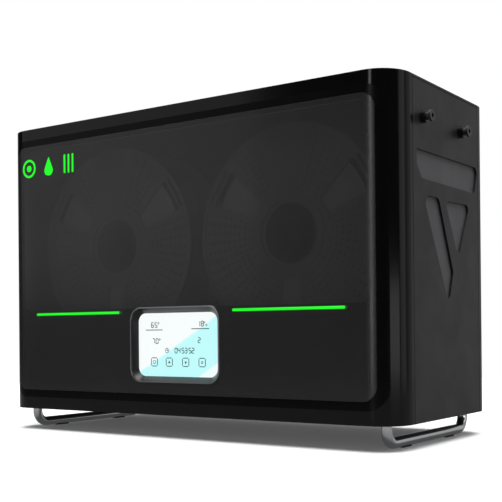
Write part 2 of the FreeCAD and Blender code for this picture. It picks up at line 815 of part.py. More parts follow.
def foot_spots():
    """Middles of the four foot legs, seen from above."""
    return [(foot_place * side, (rear - foot_inset) * end) for side in (-1, 1) for end in (-1, 1)]


def make_rear_shell():
    """The rear cover with vent slots and the holes for inlet, switch and screws."""
    body = slab("rear_shell", "XY", base, [shell_layer(1, 0, wall, rear_wrap)], body_height)
    inlet_level = base + inlet_height
    holes = [
        rectangle(
            -inlet_place - inlet_width / 2, inlet_level - inlet_tall / 2,
            -inlet_place + inlet_width / 2, inlet_level + inlet_tall / 2,
        ),
        rectangle(
            -switch_place - switch_width / 2, inlet_level - switch_tall / 2,
            -switch_place + switch_width / 2, inlet_level + switch_tall / 2,
        ),
    ]
    pocket(body, "XZ", rear - wall, holes, wall)
    pocket(body, "XZ", rear - wall, [spot + (screw_radius,) for spot in rear_spots()], wall)
    half_span = slot_pitch * (VENT_SLOTS - 1) / 2
    reach = vent_fan_size / 2 - 1
    low = base + vent_height - half_span
    slot = rectangle(
        vent_place - reach, low - slot_width / 2, vent_place + reach, low + slot_width / 2, slot_width * 0.45
    )
    first = pocket(body, "XZ", rear - wall, [slot], wall)
    repeat(body, first, "Z", half_span * 2, VENT_SLOTS)
    keep(body)


def make_base_pan():
    """The floor of the box, with air slots under the fans and holes for feet and screws."""
    body = slab("base_pan", "XY", base, [plan_inside(wall)], base_thick)
    pocket(body, "XY", base, [spot + (foot_radius,) for spot in foot_spots()], base_thick)
    pocket(body, "XY", base, [spot + (screw_radius,) for spot in post_spots()], base_thick)
    air_slots(body, base, base_thick, fan_size / 2 - 6)
    keep(body)


def air_slots(body, level, thick, reach):
    """A row of upright air slots over or under each circulation fan."""
    half_span = slot_pitch * (AIR_SLOTS - 1) / 2
    for side in (-1, 1):
        low = column * side - half_span
        slot = rectangle(low - slot_width / 2, -reach, low + slot_width / 2, reach, slot_width * 0.45)
        first = pocket(body, "XY", level, [slot], thick)
        repeat(body, first, "X", half_span * 2, AIR_SLOTS)


def hinge_spots():
    """Middles of the two frame knuckles along the lid's rear edge."""
    return [(hinge_place * side, pivot_y, pivot_z) for side in (-1, 1)]


def make_top_frame():
    """The frame round the lid, with the ledge the lid lies on, the finger notch and two hinge knuckles."""
    opening = rectangle(-opening_half, opening_front, opening_half, opening_rear)
    mouth = rectangle(-mouth_half, mouth_front, mouth_half, mouth_rear)
    body = slab("frame_plate", "XY", frame_bottom, [plan_inside(wall)], lid_thick)
    pocket(body, "XY", frame_bottom, [opening], lid_thick)
    reach = chamber_half + liner_thick + rim_lap
    rim = rectangle(-reach, opening_front - ledge / 2, reach, opening_rear + ledge / 2)
    pad(body, "XY", ledge_bottom, [rim, mouth], ledge_tall)
    pocket(body, "XY", ledge_top, [opening, mouth], gasket_thick + gasket_play)
    gutter = rectangle(-opening_half, mouth_rear + ledge, opening_half, opening_rear)
    pocket(body, "XY", pivot_z - knuckle_radius - hinge_gap, [gutter], knuckle_radius)
    reach = notch_width / 2
    tub = rectangle(-reach - 3, opening_front - notch_reach - 3, reach + 3, opening_front - ledge / 2)
    pad(body, "XY", top - notch_deep - 2, [tub], notch_deep + 2 - lid_thick)
    notch = rectangle(-reach, opening_front - notch_reach, reach, opening_front + notch_under)
    floor = rectangle(-reach - 3, opening_front - ledge / 2 - 1, reach + 3, mouth_front)
    pad(body, "XY", top - notch_deep - 2, [floor], notch_deep + 2 - lid_thick - ledge_tall)
    pocket(body, "XY", top - notch_deep, [notch], notch_deep)
    knuckles, bores = [], []
    for index, (x, y, z) in enumerate(hinge_spots()):
        start = x - hinge_length / 2
        knuckles.append(rod(f"frame_knuckle_{index}", (start, y, z), "X", knuckle_radius, hinge_length))
        low = (start, y, z - knuckle_radius)
        high = (start + hinge_length, opening_rear + 1, z)
        knuckles.append(block(f"knuckle_web_{index}", low, high))
        bores.append(rod(f"frame_bore_{index}", (start, y, z), "X", pin_radius, hinge_length))
    seats = [
        rod(f"latch_seat_{side}",
            (magnet_place * side, opening_front + magnet_radius + 0.5, ledge_bottom + 1),
            "Z", magnet_radius, ledge_top - ledge_bottom - 1)
        for side in (-1, 1)
    ]
    keep(cut("top_frame", fused("frame_solid", [body] + knuckles), bores + seats))


# ---------------------------------------------------------------------------------------------------------
# Lid
# ---------------------------------------------------------------------------------------------------------
def make_lid():
    """Lid panel with its rear knuckles, insulating liner, gasket, magnets and hinge pins."""
    reach = opening_half - lid_gap
    plate = block("lid_plate", (-reach, opening_front + lid_gap, frame_bottom), (reach, pivot_y, top))
    barrel = rod("lid_barrel", (-reach, pivot_y, pivot_z), "X", knuckle_radius, reach * 2)
    gaps, pins = [], []
    for index, (x, y, z) in enumerate(hinge_spots()):
        half = hinge_length / 2 + 0.3
        low = (x - half, y - knuckle_radius - 0.6, z - knuckle_radius - 1)
        high = (x + half, y + knuckle_radius + 1, top + 1)
        gaps.append(block(f"lid_gap_{index}", low, high))
        start = x - hinge_length / 2 - pin_reach
        length = hinge_length + pin_reach * 2
        corner = (start - 0.3, y, z)
        gaps.append(rod(f"lid_bore_{index}", corner, "X", pin_radius + running_gap, length + 0.6))
        pins.append(rod(f"pin_{index}", (start, y, z), "X", pin_radius, length))
    latches, magnets = [], []
    for side in (-1, 1):
        spot = (magnet_place * side, opening_front + magnet_radius + 0.5 + lid_gap)
        gaps.append(rod(f"magnet_seat_{side}", spot + (frame_bottom,), "Z", magnet_radius, magnet_thick))
        magnets.append(rod(f"magnet_{side}", spot + (frame_bottom,), "Z", magnet_radius, magnet_thick))
        below = (magnet_place * side, opening_front + magnet_radius + 0.5, ledge_bottom + 1)
        latches.append(rod(f"latch_{side}", below, "Z", magnet_radius, ledge_top - ledge_bottom - 1))
    keep(cut("lid_panel", fused("lid_solid", [plate, barrel]), gaps))
    keep(group("hinge_pins", pins))
    keep(group("lid_magnets", magnets))
    keep(group("latch_magnets", latches))
    liner = rectangle(
        -mouth_half + liner_play, mouth_front + liner_play,
        mouth_half - liner_play, mouth_rear - liner_play, 4,
    )
    keep(slab("lid_liner", "XY", frame_bottom - lid_liner_thick, [liner], lid_liner_thick))
    inner = rectangle(-mouth_half - 0.5, mouth_front - 0.5, mouth_half + 0.5, mouth_rear + 0.5)
    edge = gasket_width + 0.5
    outer = rectangle(-mouth_half - edge, mouth_front - edge, mouth_half + edge, mouth_rear + edge)
    keep(slab("lid_gasket", "XY", ledge_top, [outer, inner], gasket_thick))


# ---------------------------------------------------------------------------------------------------------
# Chamber: liners, sill, deck
# ---------------------------------------------------------------------------------------------------------
def make_chamber():
    """End liners, back liner, the sill with the inner front wall, and the perforated deck."""
    wall_line = front + sill_back
    liner_front = carrier_back + liner_front_gap
    liner_back_line = chamber_back + liner_thick
    outline = [
        (wall_line, deck_top), (liner_back_line, deck_top), (liner_back_line, ledge_bottom),
        (liner_front, ledge_bottom), (liner_front, sill), (wall_line, sill),
    ]
    level = base + outlet_height
    holes = [
        (front + outlet_front, level, shank_radius + 0.2), (front + outlet_rear, level, shank_radius + 0.2)
    ]
    for side, name in ((-1, "left"), (1, "right")):
        start = chamber_half if side > 0 else -chamber_half - liner_thick
        body = slab(f"chamber_liner_{name}", "YZ", start, [outline], liner_thick)
        pocket(body, "YZ", start, holes, liner_thick)
        keep(body)
    back = rectangle(-chamber_half, deck_top, chamber_half, ledge_bottom)
    body = slab("chamber_liner_back", "XZ", chamber_back, [back], liner_thick)
    vent = (vent_place, base + vent_height, vent_fan_size / 2 - 2)
    pocket(body, "XZ", chamber_back, [vent], liner_thick)
    keep(body)
    profile = [
        (carrier_back, sill - liner_thick), (wall_line, sill - liner_thick), (wall_line, deck_bottom),
        (wall_line + liner_thick, deck_bottom), (wall_line + liner_thick, sill), (carrier_back, sill),
    ]
    flat_half = half_width - corner_radius
    keep(slab("chamber_sill", "YZ", -flat_half, [profile], flat_half * 2))
    deck_front = wall_line + liner_thick
    plate = rectangle(-chamber_half - liner_thick, deck_front, chamber_half + liner_thick, liner_back_line)
    body = slab("deck_plate", "XY", deck_bottom, [plate], deck_thick)
    air_slots(body, deck_bottom, deck_thick, fan_size / 2 - 2)
    keep(body)


# ---------------------------------------------------------------------------------------------------------
# Spools and their rollers
# ---------------------------------------------------------------------------------------------------------
def make_spools():
    """Two filament spools in the front row, with the filament wound on them."""
    for side, name in ((-1, "left"), (1, "right")):
        centre = (column * side, spool_front, base + spool_height)
        inner, outer = flange_thick, spool_width - flange_thick
        body = turned(f"spool_{name}", [
            (hub_bore, 0), (spool_radius, 0), (spool_radius, inner), (drum_radius, inner),
            (drum_radius, outer), (spool_radius, outer),
            (spool_radius, spool_width), (hub_bore, spool_width),
        ])
        window = [
            (drum_radius + 6, as_size(-4), 2), (filament_radius + 6, as_size(-11), 4),
            (filament_radius + 6, as_size(11), 4), (drum_radius + 6, as_size(4), 2),
        ]
        before = volume_of(body)
        opening = pocket(body, "XY", as_size(0), [window], spool_width)
        ring = body.newObject("PartDesign::PolarPattern", f"spool_{name}_ring")
        ring.Originals = [opening]
        ring.Axis = (own_axis(body, "Z"), [""])
        ring.Angle = 360
        ring.Occurrences = 6
        body.Tip = ring
        doc.recompute()
        if not volume_of(body) < before:
            raise ValueError("the spool's windows cut nothing")
        keep(place(body, centre, AXIS_TURNS["Y"]))
        coil = turned(f"filament_{name}", [
            (drum_radius, inner), (filament_radius, inner), (filament_radius, outer), (drum_radius, outer),
        ])
        keep(place(coil, centre, AXIS_TURNS["Y"]))


def roller_spots():
    """Middles of the four rollers, seen from the front, left to right."""
    return [(column * side + roller_reach * lean, roller_level) for side in (-1, 1) for lean in (-1, 1)]


def make_rollers():
    """Four rollers on fixed axles, carried by a front and a rear rail."""
    length = rows_depth + overhang * 2
    start = spool_front - overhang
    first = overhang - rim_width / 2 + flange_thick / 2
    step = spool_width - flange_thick
    stops = [first, first + step, first + spool_width + row_gap, first + spool_width + row_gap + step]
    axles = []
    for index, (x, z) in enumerate(roller_spots(), start=1):
        corners = [(axle_radius + running_gap, as_size(0)), (roller_waist, as_size(0))]
        for stop in stops:
            corners += [
                (roller_waist, stop), (roller_radius, stop),
                (roller_radius, stop + rim_width), (roller_waist, stop + rim_width),
            ]
        corners += [(roller_waist, length), (axle_radius + running_gap, length)]
        body = turned(f"roller_{index}", corners)
        keep(place(body, (x, start, z), AXIS_TURNS["Y"]))
        reach = rail_rear + rail_thick - rail_front
        axles.append(rod(f"axle_{index}", (x, rail_front, z), "Y", axle_radius, reach))
    keep(group("roller_axles", axles))
    half = column + roller_reach + rail_margin
    plate = rectangle(-half, deck_top, half, roller_level + axle_radius + 4)
    holes = [spot + (axle_radius,) for spot in roller_spots()]
    rails = [
        slab(f"rail_{name}", "XZ", line, [plate] + holes, rail_thick)
        for name, line in (("front", rail_front), ("rear", rail_rear))
    ]
    keep(group("roller_rails", rails))


# ---------------------------------------------------------------------------------------------------------
# Air: fans and heaters
# ---------------------------------------------------------------------------------------------------------
def fan_frame(name, size, thick, centre, axis):
    """Square fan frame round its rotor, with the motor plate and its four spokes at the lower face."""
    half = size / 2
    throat = half - 2
    motor = size / 5
    plate, spoke = 1.5, 2
    body = slab(name, "XY", as_size(0), [rectangle(-half, -half, half, half, 3), (0, 0, throat)], thick)
    cross = [
        [(as_size(-spoke), -throat - 1), (as_size(spoke), -throat - 1),
         (as_size(spoke), throat + 1), (as_size(-spoke), throat + 1)],
    ]
    pad(body, "XY", as_size(0), cross, as_size(plate))
    bar = rectangle(-throat - 1, as_size(-spoke), throat + 1, as_size(spoke))
    pad(body, "XY", as_size(0), [bar], as_size(plate))
    pad(body, "XY", as_size(0), [(0, 0, motor)], as_size(plate))
    inset = half - 4
    corners = [(inset * across, inset * up, screw_radius) for across in (-1, 1) for up in (-1, 1)]
    pocket(body, "XY", as_size(0), corners, thick)
    return place(body, centre, AXIS_TURNS[axis])


def fan_rotor(name, size, thick, centre, axis):
    """Fan rotor: a hub with seven pitched blades, clear of the frame."""
    motor = size / 5
    reach = size / 2 - 3.5
    lift, blade_count, blade_thick, pitch = 2, 7, 1.2, 38
    hub = rod(f"{name}_hub", (as_size(0), as_size(0), as_size(lift)), "Z", motor, thick - lift - 1)
    pieces = [hub]
    for index in range(blade_count):
        blade = doc.addObject("Part::Box", f"{name}_blade_{index}")
        drive(blade, "Length", reach - motor + 1)
        drive(blade, "Width", as_size(blade_thick))
        drive(blade, "Height", (thick - lift - 3) * 1.1)
        turn = Rotation(Vector(0, 0, 1), 360 / blade_count * index)
        radial = turn.multVec(Vector(1, 0, 0))
        blade.Placement = Placement(Vector(), turn * Rotation(Vector(1, 0, 0), pitch))
        start = motor - 1
        drive(blade, "Placement.Base.x", start * radial.x)
        drive(blade, "Placement.Base.y", start * radial.y)
        drive(blade, "Placement.Base.z", as_size(lift) + 0.8)
        pieces.append(blade)
    rotor = fused(name, pieces)
    return place(rotor, centre, AXIS_TURNS[axis])


def make_air():
    """Two circulation fans under two heater cores, and the small vent fan behind the rear slots."""
    fan_bottom = floor_plate_top + fan_gap
    frames, heaters = [], []
    for side, name in ((-1, "left"), (1, "right")):
        centre = (column * side, as_size(0), fan_bottom)
        frames.append(fan_frame(f"fan_frame_{name}", fan_size, fan_thick, centre, "Z"))
        keep(fan_rotor(f"fan_rotor_{name}", fan_size, fan_thick, centre, "Z"))
        heaters.append(heater_core(f"heater_{name}", column * side, fan_bottom + fan_thick))
    vent = (vent_place, chamber_back + liner_thick + 2, base + vent_height)
    frames.append(fan_frame("vent_frame", vent_fan_size, vent_fan_thick, vent, "Y"))
    keep(fan_rotor("vent_fan_rotor", vent_fan_size, vent_fan_thick, vent, "Y"))
    keep(group("fan_frames", frames))
    keep(group("heater_cores", heaters))


def heater_core(name, middle, level):
    """Aluminium heater core: a frame with upright air channels between its fins."""
    half = fan_size / 2
    body = slab(name, "XY", level, [rectangle(middle - half, -half, middle + half, half)], heater_thick)
    half_span = slot_pitch * (AIR_SLOTS - 1) / 2
    low, half_slot = middle - half_span, (slot_pitch - fin_thick) / 2
    channel = rectangle(low - half_slot, -half + 4, low + half_slot, half - 4)
    first = pocket(body, "XY", level, [channel], heater_thick)
    repeat(body, first, "X", half_span * 2, AIR_SLOTS)
    return body


# ---------------------------------------------------------------------------------------------------------
# Electrics: power supply, inlet, switch, sensor, looms
# ---------------------------------------------------------------------------------------------------------
supply_front = front + 60


def make_power_supply():
    """Enclosed power supply with air slots in its lid."""
    half = supply_width / 2
    outline = rectangle(-half, supply_front, half, supply_front + supply_depth)
    body = slab("power_supply", "XY", floor_plate_top, [outline], supply_height)
    half_span = slot_pitch * (SUPPLY_SLOTS - 1) / 2
    low = supply_front + supply_depth / 2 - half_span
    slot = rectangle(-half + 12, low - slot_width / 2, half - 12, low + slot_width / 2)
    deep = as_size(6)
    first = pocket(body, "XY", floor_plate_top + supply_height - deep, [slot], deep)
    repeat(body, first, "Y", half_span * 2, SUPPLY_SLOTS)
    keep(body)


def make_inlet():
    """Mains inlet with an open socket and three contact pins."""
    level, middle = base + inlet_height, -inlet_place
    half_x, half_z = inlet_width / 2, inlet_tall / 2
    face = rear + flange_plate
    plate = rectangle(middle - half_x, level - half_z, middle + half_x, level + half_z)
    body = slab("mains_inlet", "XZ", rear - inlet_deep, [plate], inlet_deep)
    lap = inlet_flange
    flange = rectangle(
        middle - half_x - lap, level - half_z - lap, middle + half_x + lap, level + half_z + lap, 3
    )
    pad(body, "XZ", rear, [flange], flange_plate)
    bevel = 4
    left, right = middle - half_x + socket_wall, middle + half_x - socket_wall
    low, high = level - half_z + socket_wall, level + half_z - socket_wall
    socket = [
        (left, low), (right, low), (right, high - bevel), (right - bevel, high), (left + bevel, high),
        (left, high - bevel),
    ]
    bottom = rear - inlet_deep + 1.5
    pocket(body, "XZ", bottom, [socket], face - bottom)
    pins = []
    for across, up in ((-7, -2), (7, -2), (0, 2)):
        x, z = middle + across, level + up
        pins.append(rectangle(x - 1, z - 2, x + 1, z + 2))
    pad(body, "XZ", bottom, pins, face - pin_recess - bottom)
    keep(body)


def make_switch():
    """Rocker switch: a well in a frame, and the rocker that tilts in it."""
    level, middle = base + inlet_height, -switch_place
    half_x, half_z = switch_width / 2, switch_tall / 2
    plate = rectangle(middle - half_x, level - half_z, middle + half_x, level + half_z)
    body = slab("switch_frame", "XZ", rear - switch_deep, [plate], switch_deep)
    flange = rectangle(middle - half_x - 2, level - half_z - 2, middle + half_x + 2, level + half_z + 2, 2)
    pad(body, "XZ", rear, [flange], flange_plate)
    well_x, well_z = half_x - switch_wall, half_z - switch_wall
    well = rectangle(middle - well_x, level - well_z, middle + well_x, level + well_z)
    bottom = rear - switch_deep + 4
    pocket(body, "XZ", bottom, [well], rear + flange_plate - bottom)
    keep(body)
    reach = well_z - rocker_play
    back, shoulder, dip = as_size(-3), as_size(3.6), as_size(2.2)
    profile = [(back, -reach), (shoulder, -reach), (dip, as_size(0)), (shoulder, reach), (back, reach)]
    width = (well_x - 0.4) * 2
    blade = slab("rocker_blade", "YZ", -width / 2, [profile], width)
    start = (-width / 2 - boss_proud, as_size(0), as_size(0))
    boss = rod("rocker_boss", start, "X", boss_radius, width + boss_proud * 2)
    rocker = fused("rocker", [blade, boss])
    place(rocker, (middle, rear, level), Rotation(Vector(1, 0, 0), rocker_tilt.number))
    drive(rocker, "Placement.Rotation.Angle", rocker_tilt)
    keep(rocker)


def make_sensor():
    """Humidity and temperature sensor on the back liner, between the columns of spools."""
    level = base + 235
    body = slab(
        "humidity_sensor", "XZ", chamber_back - board_thick,
        [rectangle(as_size(-7), level - 11, as_size(7), level + 11)], board_thick,
    )
    cap = rectangle(as_size(-4), level - 4, as_size(4), level + 4)
    pad(body, "XZ", chamber_back - board_thick - 3, [cap], as_size(3))
    keep(body)


def make_looms():
    """Wire looms: mains from the inlet to the supply, and the supply's loom to the control board."""
    low = floor_plate_top + loom_radius + 2
    inlet_back = rear - inlet_deep - 1
    inlet_level = base + inlet_height
    drop_line = inlet_back - 28
    mains = loom_path([
        (-inlet_place, inlet_back, inlet_level), (-inlet_place, inlet_back - 20, inlet_level),
        (-inlet_place, drop_line, low), (-inlet_place + 45, drop_line - 2, low),
        (-supply_width / 2, drop_line - 2, low),
    ])
    board_back = board_face + board_thick + 2.5
    signal = loom_path([
        (0, supply_front, low + 12), (0, supply_front - 18, low + 12),
        (0, supply_front - 24, low + 30), (0, board_back, low + 30),
    ])
    looms = doc.addObject("Part::Feature", "wire_looms")
    looms.Shape = Part.makeCompound([mains, signal])
    keep(looms)


def loom_path(points):
    """A round loom along straight runs joined by tangent arcs as large as the runs allow."""
    points = [Vector(*(as_size(value).number for value in point)) for point in points]
    edges = []
    start = points[0]
    for before, here, after in zip(points, points[1:], points[2:]):
        into, out = (before - here), (after - here)
        half = into.getAngle(out) / 2
        reach = 0.45 * min(into.Length, out.Length)
        first, last = here + into.normalize() * reach, here + out.normalize() * reach
        toward = (first + last) * 0.5 - here
        centre = here + toward.normalize() * (reach / math.cos(half))
        radius = reach * math.tan(half)
        middle = centre + (here - centre).normalize() * radius
        edges.append(Part.LineSegment(start, first).toShape())
        edges.append(Part.Arc(first, middle, last).toShape())
        start = last
    edges.append(Part.LineSegment(start, points[-1]).toShape())
    spine = Part.Wire(edges)
    direction = (points[1] - points[0]).normalize()
    profile = Part.Wire([Part.Circle(points[0], direction, loom_radius.number).toShape()])
    return spine.makePipeShell([profile], True, True)


# ---------------------------------------------------------------------------------------------------------
# Outlets, feet and fixings
# ---------------------------------------------------------------------------------------------------------
def outlet_spots():
    """Names, sides and places of the four outlets."""
    level = base + outlet_height
    for side, end in ((-1, "left"), (1, "right")):
        for line, row in ((outlet_front, "front"), (outlet_rear, "rear")):
            yield f"{end}_{row}", side, (half_width * side, front + line, level)


def make_outlets():
    """Push-fit tube outlets: a body with a nut inside, and a collet that slides in to let the tube go."""
    bodies = []
    seat_end = collar_length - collet_seat - collet_stroke_room
    tube_end = seat_end - tube_seat
    for name, side, spot in outlet_spots():
        turn = Rotation(Vector(0, 1, 0), 90 * side)
        body = turned(f"outlet_body_{name}", [
            (filament_bore, -shank_length), (shank_radius, -shank_length), (shank_radius, 0),
            (collar_radius, 0), (collar_radius, collar_length), (collet_radius + running_gap, collar_length),
            (collet_radius + running_gap, seat_end), (tube_radius, seat_end), (tube_radius, tube_end),
            (filament_bore, tube_end),
        ])
        bodies.append(place(body, spot, turn))
        low = collar_length - collet_seat
        neck = collar_length + collet_neck
        collet = turned(f"outlet_collet_{name}", [
            (tube_radius, low), (collet_radius, low), (collet_radius, neck), (button_radius, neck),
            (button_radius, neck + button_length), (tube_radius, neck + button_length),
        ])
        keep(place(collet, spot, turn))
    keep(group("outlet_bodies", bodies))


def hex_nut(name, spot, turn, radius, bore, thick):
    """A six-sided nut on a thread of the given radius."""
    prism = doc.addObject("Part::Prism", f"{name}_prism")
    prism.Polygon = 6
    drive(prism, "Circumradius", radius)
    drive(prism, "Height", thick)
    hole = rod(f"{name}_hole", (0, 0, 0), "Z", bore, thick)
    return place(cut(name, prism, [hole]), spot, turn)


def make_nuts():
    """Nuts inside the end panels for the outlets, and inside the base pan for the feet."""
    nuts = []
    for name, side, (x, y, z) in outlet_spots():
        spot = (x - wall * side, y, z)
        turn = Rotation(Vector(0, 1, 0), -90 * side)
        nuts.append(hex_nut(f"outlet_nut_{name}", spot, turn, nut_radius, shank_radius, nut_thick))
    for index, (x, y) in enumerate(foot_spots()):
        spot = (x, y, floor_plate_top)
        nuts.append(
            hex_nut(f"foot_nut_{index}", spot, Rotation(), foot_nut_radius, foot_radius, nut_thick + 1)
        )
    keep(group("lock_nuts", nuts))


def make_feet():
    """Two bent rods, each with a front leg, a bar along the depth and a rear leg, on small rubber pads."""
    pads = []
    bar = foot_radius + pad_rise
    leg = rear - foot_inset
    stub_top = base + foot_stub
    for side, name in ((-1, "left"), (1, "right")):
        body = doc.addObject("PartDesign::Body", f"foot_rod_{name}")
        path = sketch_on(body, "YZ", foot_place * side, [])
        draw_foot_path(path, leg, stub_top, bar)
        section = sketch_on(body, "XY", stub_top, [(foot_place * side, -leg, foot_radius)])
        pipe = body.newObject("PartDesign::AdditivePipe", f"foot_pipe_{name}")
        doc.recompute()
        pipe.Profile = section
        pipe.Spine = (path, [f"Edge{index}" for index in range(1, 6)])
        doc.recompute()
        seats = []
        for end in (-1, 1):
            x, y = foot_place * side, pad_place * end
            low = (x - pad_width / 2, y - pad_length / 2, as_size(0))
            high = (x + pad_width / 2, y + pad_length / 2, pad_thick)
            pads.append(block(f"pad_{name}_{end}", low, high))
            seats.append(block(f"pad_seat_{name}_{end}", low, high))
        keep(cut(f"foot_{name}", body, seats))
    keep(group("foot_pads", pads))


def draw_foot_path(sketch, leg, high, bar):
    """Centre line of a foot: down the front leg, along the bar and up the rear leg."""
    bend = foot_bend.number
    x, z_high, z_bar = leg.number, high.number, bar.number
    z_turn = z_bar + bend
    points = [
        Vector(-x, z_high, 0), Vector(-x, z_turn, 0), Vector(-x + bend, z_bar, 0),
        Vector(x - bend, z_bar, 0), Vector(x, z_turn, 0), Vector(x, z_high, 0),
    ]
    front_circle = Part.Circle(Vector(-x + bend, z_turn, 0), Vector(0, 0, 1), bend)
    rear_circle = Part.Circle(Vector(x - bend, z_turn, 0), Vector(0, 0, 1), bend)
    sketch.addGeometry([
        Part.LineSegment(points[0], points[1]),
        Part.ArcOfCircle(front_circle, math.pi, 1.5 * math.pi),
        Part.LineSegment(points[2], points[3]),
        Part.ArcOfCircle(rear_circle, 1.5 * math.pi, 2 * math.pi),
        Part.LineSegment(points[4], points[5]),
    ], False)
    for rule in (
        ("Tangent", 0, 2, 1, 1), ("Tangent", 1, 2, 2, 1), ("Tangent", 2, 2, 3, 1), ("Tangent", 3, 2, 4, 1),
        ("Vertical", 0), ("Horizontal", 2), ("Vertical", 4), ("Equal", 1, 3),
    ):
        sketch.addConstraint(Sketcher.Constraint(*rule))
    bindings = (
        (("DistanceX", -1, 1, 0, 1, -x), -leg), (("DistanceY", -1, 1, 0, 1, z_high), high),
        (("DistanceX", -1, 1, 4, 2, x), leg), (("DistanceY", -1, 1, 4, 2, z_high), high),
        (("DistanceY", -1, 1, 2, 1, z_bar), bar), (("Radius", 1, bend), foot_bend),
    )
    for rule, value in bindings:
        drive(sketch, f"Constraints[{sketch.addConstraint(Sketcher.Constraint(*rule))}]", value)


def make_spacers():
    """Spacers: deck posts, rear shell spacers and control board standoffs."""
    items = []
    for index, (x, y) in enumerate(post_spots()):
        height = deck_bottom - floor_plate_top
        items.append(bored_spacer(f"deck_post_{index}", (x, y, floor_plate_top), "Z", height))
    gap_start = chamber_back + liner_thick
    for index, (x, z) in enumerate(rear_spots()):
        items.append(bored_spacer(f"rear_spacer_{index}", (x, gap_start, z), "Y", rear - wall - gap_start))
    for index, (x, z) in enumerate(board_spots()):
        height = board_face - carrier_back
        items.append(bored_spacer(f"board_spacer_{index}", (x, carrier_back, z), "Y", height))
    keep(group("spacers", items))


def bored_spacer(name, start, axis, length):
    """A round spacer with a hole for a case screw."""
    outer = rod(f"{name}_outer", start, axis, spacer_radius, length)
    return cut(name, outer, [rod(f"{name}_bore", start, axis, screw_radius, length)])


def make_screws():
    """Case screws: up into the deck posts, and from behind into the rear spacers and board standoffs."""
    items = []
    for index, (x, y) in enumerate(post_spots()):
        head = rod(f"base_head_{index}", (x, y, base - head_thick), "Z", head_radius, head_thick)
        shank = rod(f"base_shank_{index}", (x, y, base), "Z", screw_radius, screw_length)
        items.append(fused(f"base_screw_{index}", [head, shank]))
    for index, (x, z) in enumerate(rear_spots()):
        head = rod(f"rear_head_{index}", (x, rear, z), "Y", head_radius, head_thick)
        shank = rod(f"rear_shank_{index}", (x, rear - screw_length, z), "Y", screw_radius, screw_length)
        items.append(fused(f"rear_screw_{index}", [head, shank]))
    back = board_face + board_thick
    for index, (x, z) in enumerate(board_spots()):
        head = rod(f"board_head_{index}", (x, back, z), "Y", head_radius, head_thick)
        shank = rod(f"board_shank_{index}", (x, back - screw_length, z), "Y", screw_radius, screw_length)
        items.append(fused(f"board_screw_{index}", [head, shank]))
    keep(group("case_screws", items))


def check_and_write():
    """Checks every object of the document, then writes each sub-part to its own file."""
    doc.recompute()
    for item in doc.Objects:
        if "Invalid" in item.State or "Error" in item.State:
            raise ValueError(f"{item.Name}: {item.State}")
    for item in parts:
        if item.Shape.isNull() or not item.Shape.isValid() or not item.Shape.Solids:
            raise ValueError(f"{item.Label}: no valid solid")
    os.makedirs("parts", exist_ok=True)
    for item in parts:
        item.Shape.exportStep(f"parts/{item.Label}.step")
        print(f"{item.Label}: {len(item.Shape.Solids)} solids, {item.Shape.Volume / 1000:.2f} cm3")
    print(f"{len(parts)} sub-parts")


for make in (
    make_front_shell, make_window_frame, make_front_window, make_fascia_carrier, make_light_bars,
    make_front_icons, make_display_bezel, make_screen, make_ends, make_rear_shell, make_base_pan,
    make_top_frame, make_lid, make_chamber, make_spools, make_rollers, make_air, make_power_supply,
    make_inlet, make_switch, make_sensor, make_looms, make_outlets, make_nuts, make_feet, make_spacers,
    make_screws,
):
    make()
check_and_write()
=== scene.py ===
# %% [markdown]
# # A filament dryer, finished for a product shot
# The object is a black box with a smoked window. Behind the window two spools of filament stand on
# rollers, and a small lit display sits low in the middle. The sizes and the moving parts come from a
# finished design, which is loaded first and never changed. This lesson gives each part its finish and
# models the pieces whose charm is in their detail: the spools, the picture on the display, its bezel and
# the round-ended light bars.

import json
import math

import bpy
from mathutils import Matrix, Vector


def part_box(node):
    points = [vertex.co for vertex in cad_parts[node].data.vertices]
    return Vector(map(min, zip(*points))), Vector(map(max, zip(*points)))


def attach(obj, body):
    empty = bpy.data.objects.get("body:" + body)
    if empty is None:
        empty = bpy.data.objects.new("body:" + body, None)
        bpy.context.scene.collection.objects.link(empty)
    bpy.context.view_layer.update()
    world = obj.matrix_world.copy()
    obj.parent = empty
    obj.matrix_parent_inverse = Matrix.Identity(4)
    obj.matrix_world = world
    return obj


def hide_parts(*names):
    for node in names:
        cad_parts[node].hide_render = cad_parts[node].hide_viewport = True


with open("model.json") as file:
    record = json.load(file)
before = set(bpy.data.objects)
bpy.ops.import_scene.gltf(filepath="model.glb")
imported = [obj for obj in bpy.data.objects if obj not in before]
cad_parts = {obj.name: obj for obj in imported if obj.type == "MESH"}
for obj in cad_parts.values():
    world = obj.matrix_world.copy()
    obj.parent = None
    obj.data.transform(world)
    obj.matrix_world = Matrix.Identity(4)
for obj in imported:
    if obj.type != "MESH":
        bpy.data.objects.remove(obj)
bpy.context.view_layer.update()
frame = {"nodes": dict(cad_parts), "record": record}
nodes = frame["nodes"]
record = frame["record"]

# %% [markdown]
# ## Small helpers
# Blender works in metres and the design in millimetres, so one name turns one into the other. Operators
# act on whatever is selected, and the loaded parts start selected, so every step begins by selecting
# exactly what it needs.

# %% Helpers for units, colours and selection
MM = 0.001
STUDIO = bpy.context.scene


def linear(code):
    """An sRGB hex colour such as #1A1B1C as linear RGBA."""
    channels = [int(code[place:place + 2], 16) / 255 for place in (1, 3, 5)]
    return [c / 12.92 if c <= 0.04045 else ((c + 0.055) / 1.055) ** 2.4 for c in channels] + [1.0]


def select_only(*items):
    """Selects these objects and nothing else; the first is the active one."""
    for item in bpy.context.selected_objects:
        item.select_set(False)
    for item in items:
        item.select_set(True)
    bpy.context.view_layer.objects.active = items[0]


def settle(piece):
    """Puts a piece's place, turn and size into its mesh, so that its object sits at the origin."""
    select_only(piece)
    bpy.ops.object.transform_apply(location=True, rotation=True, scale=True)
    return piece


def new_piece(name):
    """Names the object that an operator has just added."""
    piece = bpy.context.active_object
    piece.name = name
    piece.data.name = name
    return piece


